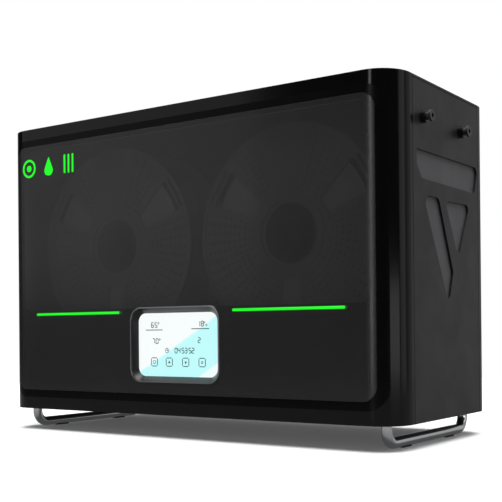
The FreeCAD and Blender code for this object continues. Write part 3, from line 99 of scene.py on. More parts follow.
def joined(name, pieces):
    """Joins several meshes into one named piece."""
    select_only(*pieces)
    bpy.ops.object.join()
    return new_piece(name)


def copy_of(piece, offset=(0, 0, 0)):
    """A copy with its own mesh, moved by an offset."""
    twin = piece.copy()
    twin.data = piece.data.copy()
    STUDIO.collection.objects.link(twin)
    twin.location = Vector(twin.location) + Vector(offset)
    return twin


def apply_modifier(piece, kind, **settings):
    """Adds a modifier, sets it up and applies it."""
    modifier = piece.modifiers.new(kind.title(), kind)
    for key, value in settings.items():
        setattr(modifier, key, value)
    select_only(piece)
    bpy.ops.object.modifier_apply(modifier=modifier.name)
    return piece


def smooth(piece, angle=30):
    """Smooth shading, except over edges sharper than the angle."""
    select_only(piece)
    bpy.ops.object.shade_smooth_by_angle(angle=math.radians(angle))
    return piece


print("helpers for selection and meshes ready")

# %% [markdown]
# ## Nodes of a material
# A finish is a small tree of nodes. One function adds a node with its settings and links, one starts a
# finish from the main shader, and one joins an output to an input.

# %% Helpers for nodes
def add_node(tree, kind, inputs=None, **settings):
    """Adds a node; inputs are values, or (node, output) pairs to link, by socket name or number."""
    node = tree.nodes.new(kind)
    for key, value in settings.items():
        setattr(node, key, value)
    for socket, value in (inputs or {}).items():
        if isinstance(value, tuple) and len(value) == 2 and isinstance(value[0], bpy.types.Node):
            tree.links.new(value[0].outputs[value[1]], node.inputs[socket])
        else:
            node.inputs[socket].default_value = value
    return node


def finish(name, **settings):
    """A new material with its main shader; settings are the shader's own sockets."""
    material = bpy.data.materials.new(name)
    material.use_nodes = True
    tree = material.node_tree
    shader = tree.nodes["Principled BSDF"]
    for socket, value in settings.items():
        shader.inputs[socket.replace("_", " ")].default_value = value
    return material, tree, shader


def link(tree, node, output, target, socket):
    """Links one node's output to another's input."""
    tree.links.new(node.outputs[output], target.inputs[socket])


print("helpers for nodes ready")

# %% [markdown]
# ## Camera
# The shot is taken from just above the table, to the right of the box, so that the front and the right
# end both show. A little lens shift keeps the upright edges nearly parallel: the lens is raised instead of
# the camera being tipped.

# %% Camera
CAMERA_PLACE = Vector((578.3, -785.2, 100.4)) * MM
CAMERA_TURN = math.radians(33.57)
CAMERA_TILT = math.radians(-0.136)
CAMERA_ROLL = math.radians(0.507)
SENSOR_WIDTH = 36.0
FOCAL_LENGTH = 68.33
SHIFT = (-0.0677, 0.155)

looking = Vector((
    -math.sin(CAMERA_TURN) * math.cos(CAMERA_TILT),
    math.cos(CAMERA_TURN) * math.cos(CAMERA_TILT),
    -math.sin(CAMERA_TILT),
))
rightward = Vector((math.cos(CAMERA_TURN), math.sin(CAMERA_TURN), 0))
upward = rightward.cross(looking)
level_view = Matrix((rightward, upward, -looking)).transposed()
rolled_view = Matrix.Rotation(CAMERA_ROLL, 3, looking) @ level_view
camera_data = bpy.data.cameras.new("product_camera")
camera_data.sensor_width = SENSOR_WIDTH
camera_data.lens = FOCAL_LENGTH
camera_data.shift_x, camera_data.shift_y = SHIFT
camera = bpy.data.objects.new("product_camera", camera_data)
camera.matrix_world = Matrix.Translation(CAMERA_PLACE) @ rolled_view.to_4x4()
STUDIO.collection.objects.link(camera)
STUDIO.camera = camera
print("camera at", [round(value, 3) for value in CAMERA_PLACE], "lens", FOCAL_LENGTH)

# %% [markdown]
# ## Light
# Gloss black plastic shows its shape only through what it reflects. So the studio has few, soft and
# well-placed light boxes with darkness between them: one far to the front left for the window, a narrow
# one straight ahead for the bright stripe where the window curls round the corner, one at the right for
# the stripe on the corner of the box, a low one for the chrome feet, and one overhead for the table.
# A hidden lamp behind the window lets the spools show through the smoked sheet.

# %% Light boxes
STUDIO.view_settings.view_transform = "Standard"
AIM = Vector((0, 0, 0.16))
LIGHT_BOXES = {
    # name: (place, width, height, power in watts)
    "front_left_box": ((-2.2, -2.0, 0.9), 1.6, 1.4, 4),
    "front_strip": ((0.10, -2.2, 0.35), 0.30, 1.5, 5.5),
    "low_right_card": ((1.7, -0.5, 0.10), 1.0, 0.25, 1.2),
    "right_strip": ((1.9, 0.45, 0.55), 0.75, 1.3, 2),
    "overhead_box": ((0.1, -0.1, 2.0), 2.4, 2.4, 110),
}


def add_light_box(name, place, width, height, power):
    """A soft rectangular lamp turned towards the object."""
    lamp = bpy.data.lights.new(name, "AREA")
    lamp.shape = "RECTANGLE"
    lamp.size, lamp.size_y = width, height
    lamp.energy = power
    item = bpy.data.objects.new(name, lamp)
    item.location = place
    item.rotation_euler = (AIM - Vector(place)).to_track_quat("-Z", "Y").to_euler()
    STUDIO.collection.objects.link(item)


for name, (place, width, height, power) in LIGHT_BOXES.items():
    add_light_box(name, place, width, height, power)
print("light boxes:", ", ".join(LIGHT_BOXES))


# %% Lamp in the chamber
GLOW_PLACE = (0, -0.079, 0.20)
GLOW_SIZE = (0.38, 0.15)
GLOW_POWER = 1.3


def add_chamber_glow():
    """The lamp behind the window that shows the spools; it isn't itself seen."""
    lamp = bpy.data.lights.new("chamber_glow", "AREA")
    lamp.shape = "RECTANGLE"
    lamp.size, lamp.size_y = GLOW_SIZE
    lamp.energy = GLOW_POWER
    item = bpy.data.objects.new("chamber_glow", lamp)
    item.location = GLOW_PLACE
    item.rotation_euler = (math.radians(90), 0, math.radians(180))
    item.visible_camera = False
    STUDIO.collection.objects.link(item)


add_chamber_glow()
print("one hidden lamp behind the window")


# %% White room
def build_sky():
    """White behind the object, dim in front, so that gloss black stays black."""
    world = bpy.data.worlds.new("studio")
    world.use_nodes = True
    STUDIO.world = world
    tree = world.node_tree
    tree.nodes.clear()
    way = add_node(tree, "ShaderNodeTexCoord")
    split = add_node(tree, "ShaderNodeSeparateXYZ", {0: (way, "Generated")})
    fade = add_node(tree, "ShaderNodeMapRange", {
        "Value": (split, "Y"), "From Min": 0.1, "From Max": 0.95, "To Min": 0.02, "To Max": 0.42,
    })
    seen = add_node(tree, "ShaderNodeLightPath")
    dim = add_node(tree, "ShaderNodeBackground", {"Color": (1, 1, 1, 1), "Strength": (fade, "Result")})
    white = add_node(tree, "ShaderNodeBackground", {"Color": (1, 1, 1, 1), "Strength": 1.0})
    mix = add_node(tree, "ShaderNodeMixShader", {0: (seen, "Is Camera Ray"), 1: (dim, 0), 2: (white, 0)})
    add_node(tree, "ShaderNodeOutputWorld", {"Surface": (mix, 0)})


build_sky()
print("the room is white to the eye and dim to the gloss")

# %% [markdown]
# ## Table
# The table is plain matt card. A white card would be mirrored in all the black gloss and turn it grey, so
# it is given a darker tone wherever it is seen in a reflection, as if black cards lay round the object.

# %% Table
TABLE_RADIUS = 1.1
CARD_SEEN = 0.92
CARD_MIRRORED = 0.12
CARD_UNEVENNESS = 0.03
bpy.ops.mesh.primitive_circle_add(vertices=128, radius=TABLE_RADIUS, fill_type="NGON")
table = new_piece("table")
white_table, tree, shader = finish(
    "matt_white_card", Roughness=0.95, Specular_IOR_Level=0.1, Emission_Strength=0.07
)
shader.inputs["Emission Color"].default_value = linear("#FFFFFF")
fibre = add_node(tree, "ShaderNodeTexNoise", {"Scale": 40.0, "Detail": 3.0})
seen = add_node(tree, "ShaderNodeLightPath")
bright = add_node(tree, "ShaderNodeMapRange", {
    "Value": (seen, "Is Camera Ray"), "To Min": CARD_MIRRORED, "To Max": CARD_SEEN,
})
tint = add_node(tree, "ShaderNodeMath", {
    0: (fibre, "Fac"), 1: CARD_UNEVENNESS, 2: (bright, "Result"),
}, operation="MULTIPLY_ADD")
link(tree, tint, "Value", shader, "Base Color")
table.data.materials.append(white_table)
print("table", 2 * TABLE_RADIUS, "m across")

# %% [markdown]
# ## Finishes
# Each part carries the name of its finish in the record. Moulded covers are ABS: the front one is
# polished in the mould and mirrors the room, the others have a fine spark-eroded grain that breaks the
# reflection up. Every pattern is scaled from a real size in millimetres.

# %% Grain, unevenness and drifting colour
def grain(tree, shader, pitch_mm, height_mm, detail=2.0):
    """A fine random bump whose bumps are pitch_mm apart and height_mm high."""
    where = add_node(tree, "ShaderNodeTexCoord")
    noise = add_node(tree, "ShaderNodeTexNoise", {
        "Vector": (where, "Object"), "Scale": 1 / (pitch_mm * MM), "Detail": detail,
    })
    bump = add_node(tree, "ShaderNodeBump", {
        "Height": (noise, "Fac"), "Distance": height_mm * MM, "Strength": 1.0,
    })
    link(tree, bump, "Normal", shader, "Normal")
    return where


def uneven(tree, shader, socket, low, high, pitch_mm, where=None):
    """Lets a number such as the roughness wander between two values over the surface."""
    where = where or add_node(tree, "ShaderNodeTexCoord")
    noise = add_node(tree, "ShaderNodeTexNoise", {
        "Vector": (where, "Object"), "Scale": 1 / (pitch_mm * MM), "Detail": 4.0,
    })
    spread = add_node(tree, "ShaderNodeMapRange", {
        "Value": (noise, "Fac"), "From Min": 0.3, "From Max": 0.7, "To Min": low, "To Max": high,
    })
    link(tree, spread, "Result", shader, socket)


# A Mix node has sockets of the same name for each kind of data, so its colours are found by number.
MIX_COLOUR_RESULT = 2
MIX_FIRST_COLOUR = 6
MIX_SECOND_COLOUR = 7


def colour_mix(tree, factor, first, second):
    """A colour between two hex colours, by a linked factor."""
    mix = add_node(tree, "ShaderNodeMix", data_type="RGBA")
    link(tree, factor[0], factor[1], mix, "Factor")
    mix.inputs[MIX_FIRST_COLOUR].default_value = linear(first)
    mix.inputs[MIX_SECOND_COLOUR].default_value = linear(second)
    return mix


def two_tones(tree, shader, first, second, pitch_mm, where=None):
    """Lets the colour drift between two close tones, as pigment does in a moulding."""
    where = where or add_node(tree, "ShaderNodeTexCoord")
    noise = add_node(tree, "ShaderNodeTexNoise", {
        "Vector": (where, "Object"), "Scale": 1 / (pitch_mm * MM), "Detail": 3.0,
    })
    mix = colour_mix(tree, (noise, "Fac"), first, second)
    link(tree, mix, MIX_COLOUR_RESULT, shader, "Base Color")


print("surface helpers ready")


# %% Covers of ABS, and the inlay behind their cut-outs
def polished_abs():
    """Gloss black ABS: a hard mirror over black, with the faint orange peel of a polished mould."""
    material, tree, shader = finish("polished_abs", IOR=1.52, Specular_IOR_Level=0.24)
    where = grain(tree, shader, 6.0, 0.010)
    uneven(tree, shader, "Roughness", 0.09, 0.15, 35, where)
    two_tones(tree, shader, "#09090A", "#0B0B0C", 50, where)
    return material


def grained_abs(name="spark_grained_abs", first="#0C0C0D", second="#101011"):
    """Satin black ABS with a spark-eroded grain: the grain is drawn 0.9 mm apart so that it shows."""
    material, tree, shader = finish(name, IOR=1.52, Specular_IOR_Level=0.5)
    where = grain(tree, shader, 0.9, 0.035, 3.0)
    uneven(tree, shader, "Roughness", 0.40, 0.50, 30, where)
    two_tones(tree, shader, first, second, 20, where)
    return material


def band_abs():
    """The band round the window: black lacquer, softer than the shell round it."""
    material, tree, shader = finish("lacquered_band", IOR=1.5, Specular_IOR_Level=0.1)
    where = grain(tree, shader, 4.0, 0.006)
    uneven(tree, shader, "Roughness", 0.22, 0.30, 30, where)
    two_tones(tree, shader, "#070708", "#0A0A0B", 40, where)
    return material


def grey_inlay():
    """Dark grey satin inlay behind the cut-outs of the end panels."""
    material, tree, shader = finish("grey_satin_inlay", IOR=1.5, Specular_IOR_Level=0.5)
    where = grain(tree, shader, 0.8, 0.02, 3.0)
    uneven(tree, shader, "Roughness", 0.42, 0.5, 20, where)
    two_tones(tree, shader, "#4A4A4D", "#525255", 18, where)
    return material


print("finishes of the covers ready")

# %% [markdown]
# ## Window, print and light
# The window is smoked acrylic. True refraction through it would be slow and noisy, and for a flat sheet
# it hardly shows, so the sheet is a dark solid that lets a quarter of the light straight through.


# %% Smoked window, backing and green light
def smoked_acrylic():
    """Smoked acrylic sheet: dark grey through and through, so that what is behind shows only faintly."""
    material, tree, shader = finish(
        "smoked_acrylic", IOR=1.49, Specular_IOR_Level=0.45, Alpha=0.74,
        Coat_Weight=0.15, Coat_Roughness=0.06,
    )
    where = grain(tree, shader, 9.0, 0.008)
    uneven(tree, shader, "Roughness", 0.26, 0.34, 45, where)
    two_tones(tree, shader, "#29292A", "#2D2D2E", 60, where)
    return material


def black_backing():
    """Matt black screen print on the carrier behind the window."""
    material, tree, shader = finish("screen_printed_black", IOR=1.5, Specular_IOR_Level=0.3)
    where = grain(tree, shader, 0.6, 0.01)
    uneven(tree, shader, "Roughness", 0.55, 0.7, 12, where)
    two_tones(tree, shader, "#0A0A0A", "#0E0E0E", 15, where)
    return material


def lit_guide():
    """Frosted acrylic light guide, lit green from behind, its glow drifting a little along the bar."""
    material, tree, shader = finish("green_light_guide", Roughness=0.4, Emission_Strength=1.0)
    shader.inputs["Base Color"].default_value = linear("#0A5C12")
    where = add_node(tree, "ShaderNodeTexCoord")
    noise = add_node(tree, "ShaderNodeTexNoise", {"Vector": (where, "Object"), "Scale": 60.0})
    mix = colour_mix(tree, (noise, "Fac"), "#0CEB14", "#14F81E")
    link(tree, mix, MIX_COLOUR_RESULT, shader, "Emission Color")
    return material


def green_print_with_painted_glow():
    """Green ink screen-printed on the window, with a painted glow standing in for the light of the guides.
    """
    # The emission is painted glow: the light of the green guides on the print, drawn into the ink.
    material, tree, shader = finish("green_print_painted_glow", Roughness=0.5, Emission_Strength=0.75)
    where = add_node(tree, "ShaderNodeTexCoord")
    noise = add_node(tree, "ShaderNodeTexNoise", {"Vector": (where, "Object"), "Scale": 900.0})
    mix = colour_mix(tree, (noise, "Fac"), "#0FD818", "#16F020")
    link(tree, mix, MIX_COLOUR_RESULT, shader, "Base Color")
    link(tree, mix, MIX_COLOUR_RESULT, shader, "Emission Color")
    return material


print("finishes of window and lights ready")


# %% Circuit board, bezel and touch glass
def circuit_board():
    """Glass-fibre board under green solder mask; a brick pattern stands for its copper tracks."""
    material, tree, shader = finish("solder_masked_board", Roughness=0.35, IOR=1.5)
    where = add_node(tree, "ShaderNodeTexCoord")
    tracks = add_node(tree, "ShaderNodeTexBrick", {
        "Vector": (where, "Object"), "Scale": 1 / (4 * MM), "Mortar Size": 0.08,
        "Color1": linear("#0E3B1E"), "Color2": linear("#114725"), "Mortar": linear("#2C7A45"),
    })
    link(tree, tracks, "Color", shader, "Base Color")
    return material


def display_bezel_abs():
    """Dark satin bezel of the display."""
    material, tree, shader = finish("satin_bezel", IOR=1.5, Specular_IOR_Level=0.4)
    where = grain(tree, shader, 0.7, 0.01)
    uneven(tree, shader, "Roughness", 0.3, 0.38, 12, where)
    two_tones(tree, shader, "#1E1E1F", "#242425", 15, where)
    return material


def clear_glass():
    """Touch glass: clear, polished, with a trace of green."""
    material, tree, shader = finish("touch_glass", IOR=1.5, Alpha=0.06, Specular_IOR_Level=0.5)
    shader.inputs["Base Color"].default_value = linear("#DDF2EE")
    uneven(tree, shader, "Roughness", 0.02, 0.05, 20)
    return material


print("finishes of board, bezel and glass ready")

# %% Lit screen
SCREEN_LEVEL = (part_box("lcd_panel")[0].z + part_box("lcd_panel")[1].z) / 2

# Across the painted sheen, a direction in the screen's plane; and where the sheen starts and ends on a line
# of that direction that runs from -50 mm to 50 mm through the middle of the screen.
# The sheen is a painted reflection: a pale cyan stripe drawn into the screen's glow.
SHEEN_ACROSS = (0.491, 0, -0.871)
SHEEN_LINE = 50 * MM
SHEEN_START = 0.492
SHEEN_END = 0.874


def lit_screen():
    """Backlit screen: white, crossed by a broad pale cyan stripe that rises to the right, a painted sheen.
    """
    material, tree, shader = finish("backlit_screen_painted_sheen", Roughness=0.3, Emission_Strength=1.0)
    shader.inputs["Base Color"].default_value = linear("#101414")
    where = add_node(tree, "ShaderNodeTexCoord")
    lower = add_node(tree, "ShaderNodeVectorMath", {
        0: (where, "Object"), 1: (0, 0, SCREEN_LEVEL),
    }, operation="SUBTRACT")
    across = add_node(tree, "ShaderNodeVectorMath", {
        0: (lower, "Vector"), 1: SHEEN_ACROSS,
    }, operation="DOT_PRODUCT")
    # The ramp's pale cyan stripe is the painted sheen, a reflection drawn into the emission colour.
    stripe = add_node(tree, "ShaderNodeValToRGB")
    span = add_node(tree, "ShaderNodeMapRange", {
        "Value": (across, "Value"), "From Min": -SHEEN_LINE, "From Max": SHEEN_LINE,
    })
    link(tree, span, "Result", stripe, "Fac")
    stripe.color_ramp.interpolation = "CONSTANT"
    edges = stripe.color_ramp.elements
    edges[0].color = linear("#FBFFFF")
    edges[1].position = SHEEN_START
    edges[1].color = linear("#C4FEFF")
    last = edges.new(SHEEN_END)
    last.color = linear("#F6FFFF")
    link(tree, stripe, "Color", shader, "Emission Color")
    return material


print("screen middle at", round(SCREEN_LEVEL, 4), "m above the table")


# %% Metals
def turned_steel(name="ground_steel", first="#A9A9AB", second="#B9B9BB"):
    """Ground steel: metallic, with a fine uneven grain."""
    material, tree, shader = finish(name, Metallic=1.0)
    where = grain(tree, shader, 0.5, 0.003)
    uneven(tree, shader, "Roughness", 0.22, 0.34, 6, where)
    two_tones(tree, shader, first, second, 8, where)
    return material


def nickel():
    """Nickel-plated magnets."""
    material, tree, shader = finish("nickel_plate", Metallic=1.0)
    uneven(tree, shader, "Roughness", 0.12, 0.2, 5)
    two_tones(tree, shader, "#B5B1A6", "#C4C0B6", 6)
    return material


def extruded_aluminium(name="extruded_aluminium"):
    """Plain extruded aluminium, with a fine uneven grain."""
    material, tree, shader = finish(name, Metallic=1.0)
    where = grain(tree, shader, 0.6, 0.004)
    uneven(tree, shader, "Roughness", 0.28, 0.38, 8, where)
    two_tones(tree, shader, "#C2C3C5", "#D0D1D3", 10, where)
    return material


def nut_brass():
    """Turned brass nuts."""
    material, tree, shader = finish("turned_brass", Metallic=1.0)
    uneven(tree, shader, "Roughness", 0.25, 0.35, 4)
    two_tones(tree, shader, "#B08D4A", "#C09C58", 6)
    return material


def chrome_plate():
    """Bright chrome over bent steel rod: a near-perfect mirror with a trace of blue."""
    material, tree, shader = finish("bright_chrome", Metallic=1.0)
    uneven(tree, shader, "Roughness", 0.03, 0.07, 12)
    two_tones(tree, shader, "#D9DBDE", "#E4E6E8", 15)
    return material


def blackened_steel():
    """Black-oxide screws: oiled, dark and slightly metallic."""
    material, tree, shader = finish("black_oxide_steel", Metallic=0.85)
    uneven(tree, shader, "Roughness", 0.3, 0.42, 3)
    two_tones(tree, shader, "#2A2A2C", "#38383A", 3)
    return material


print("metals ready")


# %% Spools, filament and rollers
def spool_moulding():
    """Grey polystyrene of the spools, satin, with faint flow marks."""
    material, tree, shader = finish("grey_spool_styrene", IOR=1.55)
    where = grain(tree, shader, 1.2, 0.02)
    uneven(tree, shader, "Roughness", 0.35, 0.45, 25, where)
    two_tones(tree, shader, "#8C8C8D", "#989899", 30, where)
    return material


# At a scale of 1 the bands of a Wave texture repeat after about 1 / pi of a metre.
FILAMENT_THICK = 1.75 * MM


def wound_filament():
    """Filament wound in layers: 1.75 mm turns side by side, drawn as ridges round the coil."""
    material, tree, shader = finish("wound_filament", IOR=1.46, Coat_Weight=0.3, Coat_Roughness=0.15)
    where = add_node(tree, "ShaderNodeTexCoord")
    ridges = add_node(tree, "ShaderNodeTexWave", {
        "Vector": (where, "Object"), "Scale": 1 / (math.pi * FILAMENT_THICK), "Distortion": 0.6,
    }, wave_type="BANDS", bands_direction="Y")
    bump = add_node(tree, "ShaderNodeBump", {"Height": (ridges, "Fac"), "Distance": 0.8 * MM})
    link(tree, bump, "Normal", shader, "Normal")
    uneven(tree, shader, "Roughness", 0.3, 0.4, 15, where)
    two_tones(tree, shader, "#B9B9BA", "#C6C6C7", 20, where)
    return material


def nylon_roller():
    """Milky nylon rollers."""
    material, tree, shader = finish("milky_nylon", IOR=1.53, Subsurface_Weight=0.1)
    uneven(tree, shader, "Roughness", 0.35, 0.45, 8)
    two_tones(tree, shader, "#C9C7C0", "#D3D1CA", 12)
    return material


print("finishes of spools and rollers ready")


# %% Small plastics, rubber and sleeve
def seal_silicone():
    """Soft black silicone of the gasket."""
    material, tree, shader = finish("black_silicone", IOR=1.42)
    where = grain(tree, shader, 0.7, 0.02)
    uneven(tree, shader, "Roughness", 0.6, 0.75, 10, where)
    two_tones(tree, shader, "#101010", "#161616", 10, where)
    return material


def pad_rubber():
    """Grey-black rubber pads under the feet."""
    material, tree, shader = finish("foot_rubber", IOR=1.52)
    where = grain(tree, shader, 0.6, 0.03)
    uneven(tree, shader, "Roughness", 0.7, 0.85, 5, where)
    two_tones(tree, shader, "#141414", "#1B1B1B", 6, where)
    return material


def fan_black():
    """Glass-filled black plastic of the fans."""
    material, tree, shader = finish("fan_black_pbt", IOR=1.55)
    where = grain(tree, shader, 0.5, 0.01)
    uneven(tree, shader, "Roughness", 0.45, 0.55, 6, where)
    two_tones(tree, shader, "#0E0E0F", "#131314", 8, where)
    return material


def rocker_gloss():
    """Gloss black rocker."""
    material, tree, shader = finish("gloss_rocker", IOR=1.5, Specular_IOR_Level=0.5)
    uneven(tree, shader, "Roughness", 0.12, 0.2, 6)
    two_tones(tree, shader, "#0A0A0B", "#0F0F10", 8)
    return material


def braided_sleeve():
    """Braided polyester sleeve over the wires: raised checks 2 mm apart."""
    material, tree, shader = finish("braided_sleeve", Sheen_Weight=0.4)
    where = add_node(tree, "ShaderNodeTexCoord")
    weave = add_node(tree, "ShaderNodeTexChecker", {
        "Vector": (where, "Object"), "Scale": 1 / (2 * MM),
        "Color1": linear("#0B0B0C"), "Color2": linear("#1B1B1D"),
    })
    link(tree, weave, "Color", shader, "Base Color")
    bump = add_node(tree, "ShaderNodeBump", {"Height": (weave, "Fac"), "Distance": 0.2 * MM})
    link(tree, bump, "Normal", shader, "Normal")
    uneven(tree, shader, "Roughness", 0.6, 0.75, 5, where)
    return material


def outlet_acetal():
    """Turned black acetal of the outlets: deep black with a soft gloss."""
    material, tree, shader = finish("black_acetal", IOR=1.48, Specular_IOR_Level=0.5)
    uneven(tree, shader, "Roughness", 0.22, 0.3, 4)
    two_tones(tree, shader, "#070708", "#0B0B0C", 5)
    return material


def collet_acetal():
    """Dark grey acetal of the release rings."""
    material, tree, shader = finish("grey_acetal", IOR=1.48, Specular_IOR_Level=0.5)
    uneven(tree, shader, "Roughness", 0.3, 0.4, 4)
    two_tones(tree, shader, "#2A2A2B", "#333334", 4)
    return material


print("small plastics ready")

# %% Give every part its finish
finishes = {
    "shell_gloss": polished_abs(),
    "frame_band": band_abs(),
    "smoked_acrylic": smoked_acrylic(),
    "black_backing": black_backing(),
    "light_guide": lit_guide(),
    "board_green": circuit_board(),
    "print_green": green_print_with_painted_glow(),
    "bezel_black": display_bezel_abs(),
    "clear_glass": clear_glass(),
    "lit_screen": lit_screen(),
    "shell_satin": grained_abs(),
    "inlay_grey": grey_inlay(),
    "polished_steel": turned_steel(),
    "nickel_magnet": nickel(),
    "chamber_plastic": grained_abs("chamber_polypropylene", "#1A1A1B", "#202021"),
    "seal_rubber": seal_silicone(),
    "spool_plastic": spool_moulding(),
    "filament_dark": wound_filament(),
    "roller_plastic": nylon_roller(),
    "brushed_plate": turned_steel("zinc_plated_sheet", "#9C9EA0", "#ADAFB1"),
    "fan_plastic": fan_black(),
    "heater_alloy": extruded_aluminium(),
    "rocker_plastic": rocker_gloss(),
    "loom_sleeve": braided_sleeve(),
    "collet_plastic": collet_acetal(),
    "outlet_black": outlet_acetal(),
    "nut_metal": nut_brass(),
    "chromed_rod": chrome_plate(),
    "pad_rubber": pad_rubber(),
    "spacer_metal": extruded_aluminium("turned_aluminium"),
    "screw_metal": blackened_steel(),
}
slot_of = {part["node"]: part["material_slot"] for part in record["subparts"]}
for node_name, part in nodes.items():
    part.data.materials.clear()
    part.data.materials.append(finishes[slot_of[node_name]])
print(len(finishes), "finishes on", len(nodes), "parts")

# %% [markdown]
# ## Spools
# A real spool is injection moulded: a web with a raised rim and hub ring, rows of small holes that let
# warm air reach the filament, and a few large windows that show how much is left. It could be drawn flat
# and extruded, but a disc that is inset and pushed in, as here, gives the steps between web, rim and hub
# ring in the order a mould maker would cut them. Boolean modifiers then cut the holes and the windows.

# %% Sizes of a spool, from the design
SPOOLS = {"left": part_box("spool_left"), "right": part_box("spool_right")}
SPOOL_RADIUS = (SPOOLS["left"][1].x - SPOOLS["left"][0].x) / 2
SPOOL_WIDTH = SPOOLS["left"][1].y - SPOOLS["left"][0].y
FLANGE_THICK = 3 * MM
WEB_SINK = 1 * MM
BORE_RADIUS = 27.5 * MM
HUB_RING = (31.5 * MM, 36 * MM)
RIM_WIDTH = 3.5 * MM
DRUM_RADIUS = 42 * MM
FACING = (math.radians(90), 0, 0)
print("spool radius", round(SPOOL_RADIUS, 4), "width", round(SPOOL_WIDTH, 4))


# %% A disc, and a face picked by its place
def add_disc(name, place, radius, depth, sides):
    """A round plate whose flat faces look to the front and to the back."""
    bpy.ops.mesh.primitive_cylinder_add(
        vertices=sides, radius=radius, depth=depth, location=place, rotation=FACING
    )
    return settle(new_piece(name))


def edit_faces(piece, wanted):
    """Enters edit mode with just the faces selected whose centre and normal pass the test."""
    select_only(piece)
    bpy.ops.object.mode_set(mode="EDIT")
    bpy.ops.mesh.select_all(action="DESELECT")
    bpy.ops.mesh.select_mode(type="FACE")
    bpy.ops.object.mode_set(mode="OBJECT")
    for face in piece.data.polygons:
        face.select = wanted(face)
    bpy.ops.object.mode_set(mode="EDIT")


def leave_edit():
    """Back to object mode."""
    bpy.ops.object.mode_set(mode="OBJECT")


def facing_front(face):
    """True for a face that looks to the front."""
    return face.normal.y < -0.9


def push_selected(distance):
    """Extrudes the selected faces along Y."""
    bpy.ops.mesh.extrude_region_move(TRANSFORM_OT_translate={"value": (0, distance, 0)})


print("helpers for discs and faces ready")

# %% The front flange, before its holes are cut
def add_flange(name, centre, front):
    """Rim, sunken web, raised hub ring and the well of the hub."""
    flange = add_disc(name, (centre.x, front + FLANGE_THICK / 2, centre.z), SPOOL_RADIUS, FLANGE_THICK, 128)
    edit_faces(flange, facing_front)
    bpy.ops.mesh.inset(thickness=RIM_WIDTH)
    push_selected(WEB_SINK)
    bpy.ops.mesh.inset(thickness=SPOOL_RADIUS - RIM_WIDTH - HUB_RING[1])
    push_selected(-WEB_SINK)
    bpy.ops.mesh.inset(thickness=HUB_RING[1] - HUB_RING[0])
    push_selected(FLANGE_THICK * 0.6)
    leave_edit()
    return flange


print("flange", FLANGE_THICK, "thick, its web sunk by", WEB_SINK)

# %% A tapered window, as a cutter and as the raised label field
def add_wedge(name, centre, front, depth, radii, widths, turn):
    """A block that widens from the inner radius to the outer one, turned about the spool's axis."""
    inner, outer = radii
    bpy.ops.mesh.primitive_cube_add(size=1, location=(0, 0, 0))
    wedge = new_piece(name)
    wedge.scale = (widths[0], depth, outer - inner)
    settle(wedge)
    edit_faces(wedge, lambda face: face.normal.z > 0.9)
    bpy.ops.transform.resize(value=(widths[1] / widths[0], 1, 1))
    leave_edit()
    apply_modifier(wedge, "BEVEL", width=2.5 * MM, segments=3, limit_method="ANGLE", affect="EDGES")
    middle = (inner + outer) / 2
    wedge.rotation_euler = (0, turn, 0)
    wedge.location = (
        centre.x + math.sin(turn) * middle, front + depth / 2, centre.z + math.cos(turn) * middle
    )
    return settle(wedge)


print("helper for tapered windows ready")

# %% Rows of air holes
HOLE_ROWS = 60
HOLE_RINGS = [radius * MM for radius in range(44, 93, 6)]
HOLE_RADIUS = 1.3 * MM
LABEL_HALF_TURN = 24
SIGHT_TURN = 58
SIGHT_HALF_TURN = 15
SLOT_HALF_TURN = 13


def free_for_holes(degrees):
    """True where the web has neither the label field nor a window."""
    turn = (degrees + 180) % 360 - 180
    in_sight = abs(abs(turn) - SIGHT_TURN) < SIGHT_HALF_TURN
    return abs(turn) > LABEL_HALF_TURN and not in_sight and abs(turn) < 180 - SLOT_HALF_TURN


def add_hole_cutters(centre, front):
    """Every hole's cutter, copied from one small six-sided pin."""
    pin = add_disc("pin", (centre.x, front + FLANGE_THICK / 2, centre.z), HOLE_RADIUS, 4 * FLANGE_THICK, 6)
    pins = []
    for row in range(HOLE_ROWS):
        degrees = row * 360 / HOLE_ROWS + 3
        if not free_for_holes(degrees):
            continue
        angle = math.radians(degrees)
        for ring in HOLE_RINGS[row % 2:]:
            pins.append(copy_of(pin, (math.sin(angle) * ring, 0, math.cos(angle) * ring)))
    cutter = joined("pins", pins)
    bpy.data.objects.remove(pin)
    return settle(cutter)


print(HOLE_ROWS, "rows of holes on", len(HOLE_RINGS), "rings")

# %% Windows of the front flange
# Each shape is its inner and outer radius, and its width at each of them.
SIGHT_SHAPE = ((42 * MM, 89 * MM), (15 * MM, 36 * MM))
SLIT_SHAPE = ((92 * MM, 95 * MM), (34 * MM, 34 * MM))
SLOT_SHAPE = ((41 * MM, 88 * MM), (18 * MM, 26 * MM))
LABEL_SHAPE = ((42 * MM, 88 * MM), (30 * MM, 62 * MM))
print("two sight windows with slits, one slot and a label field")


# %% Cut and assemble both spools
def cut_away(piece, cutter):
    """Cuts one mesh out of another and removes the cutter."""
    apply_modifier(piece, "BOOLEAN", operation="DIFFERENCE", solver="EXACT", object=cutter)
    bpy.data.objects.remove(cutter)


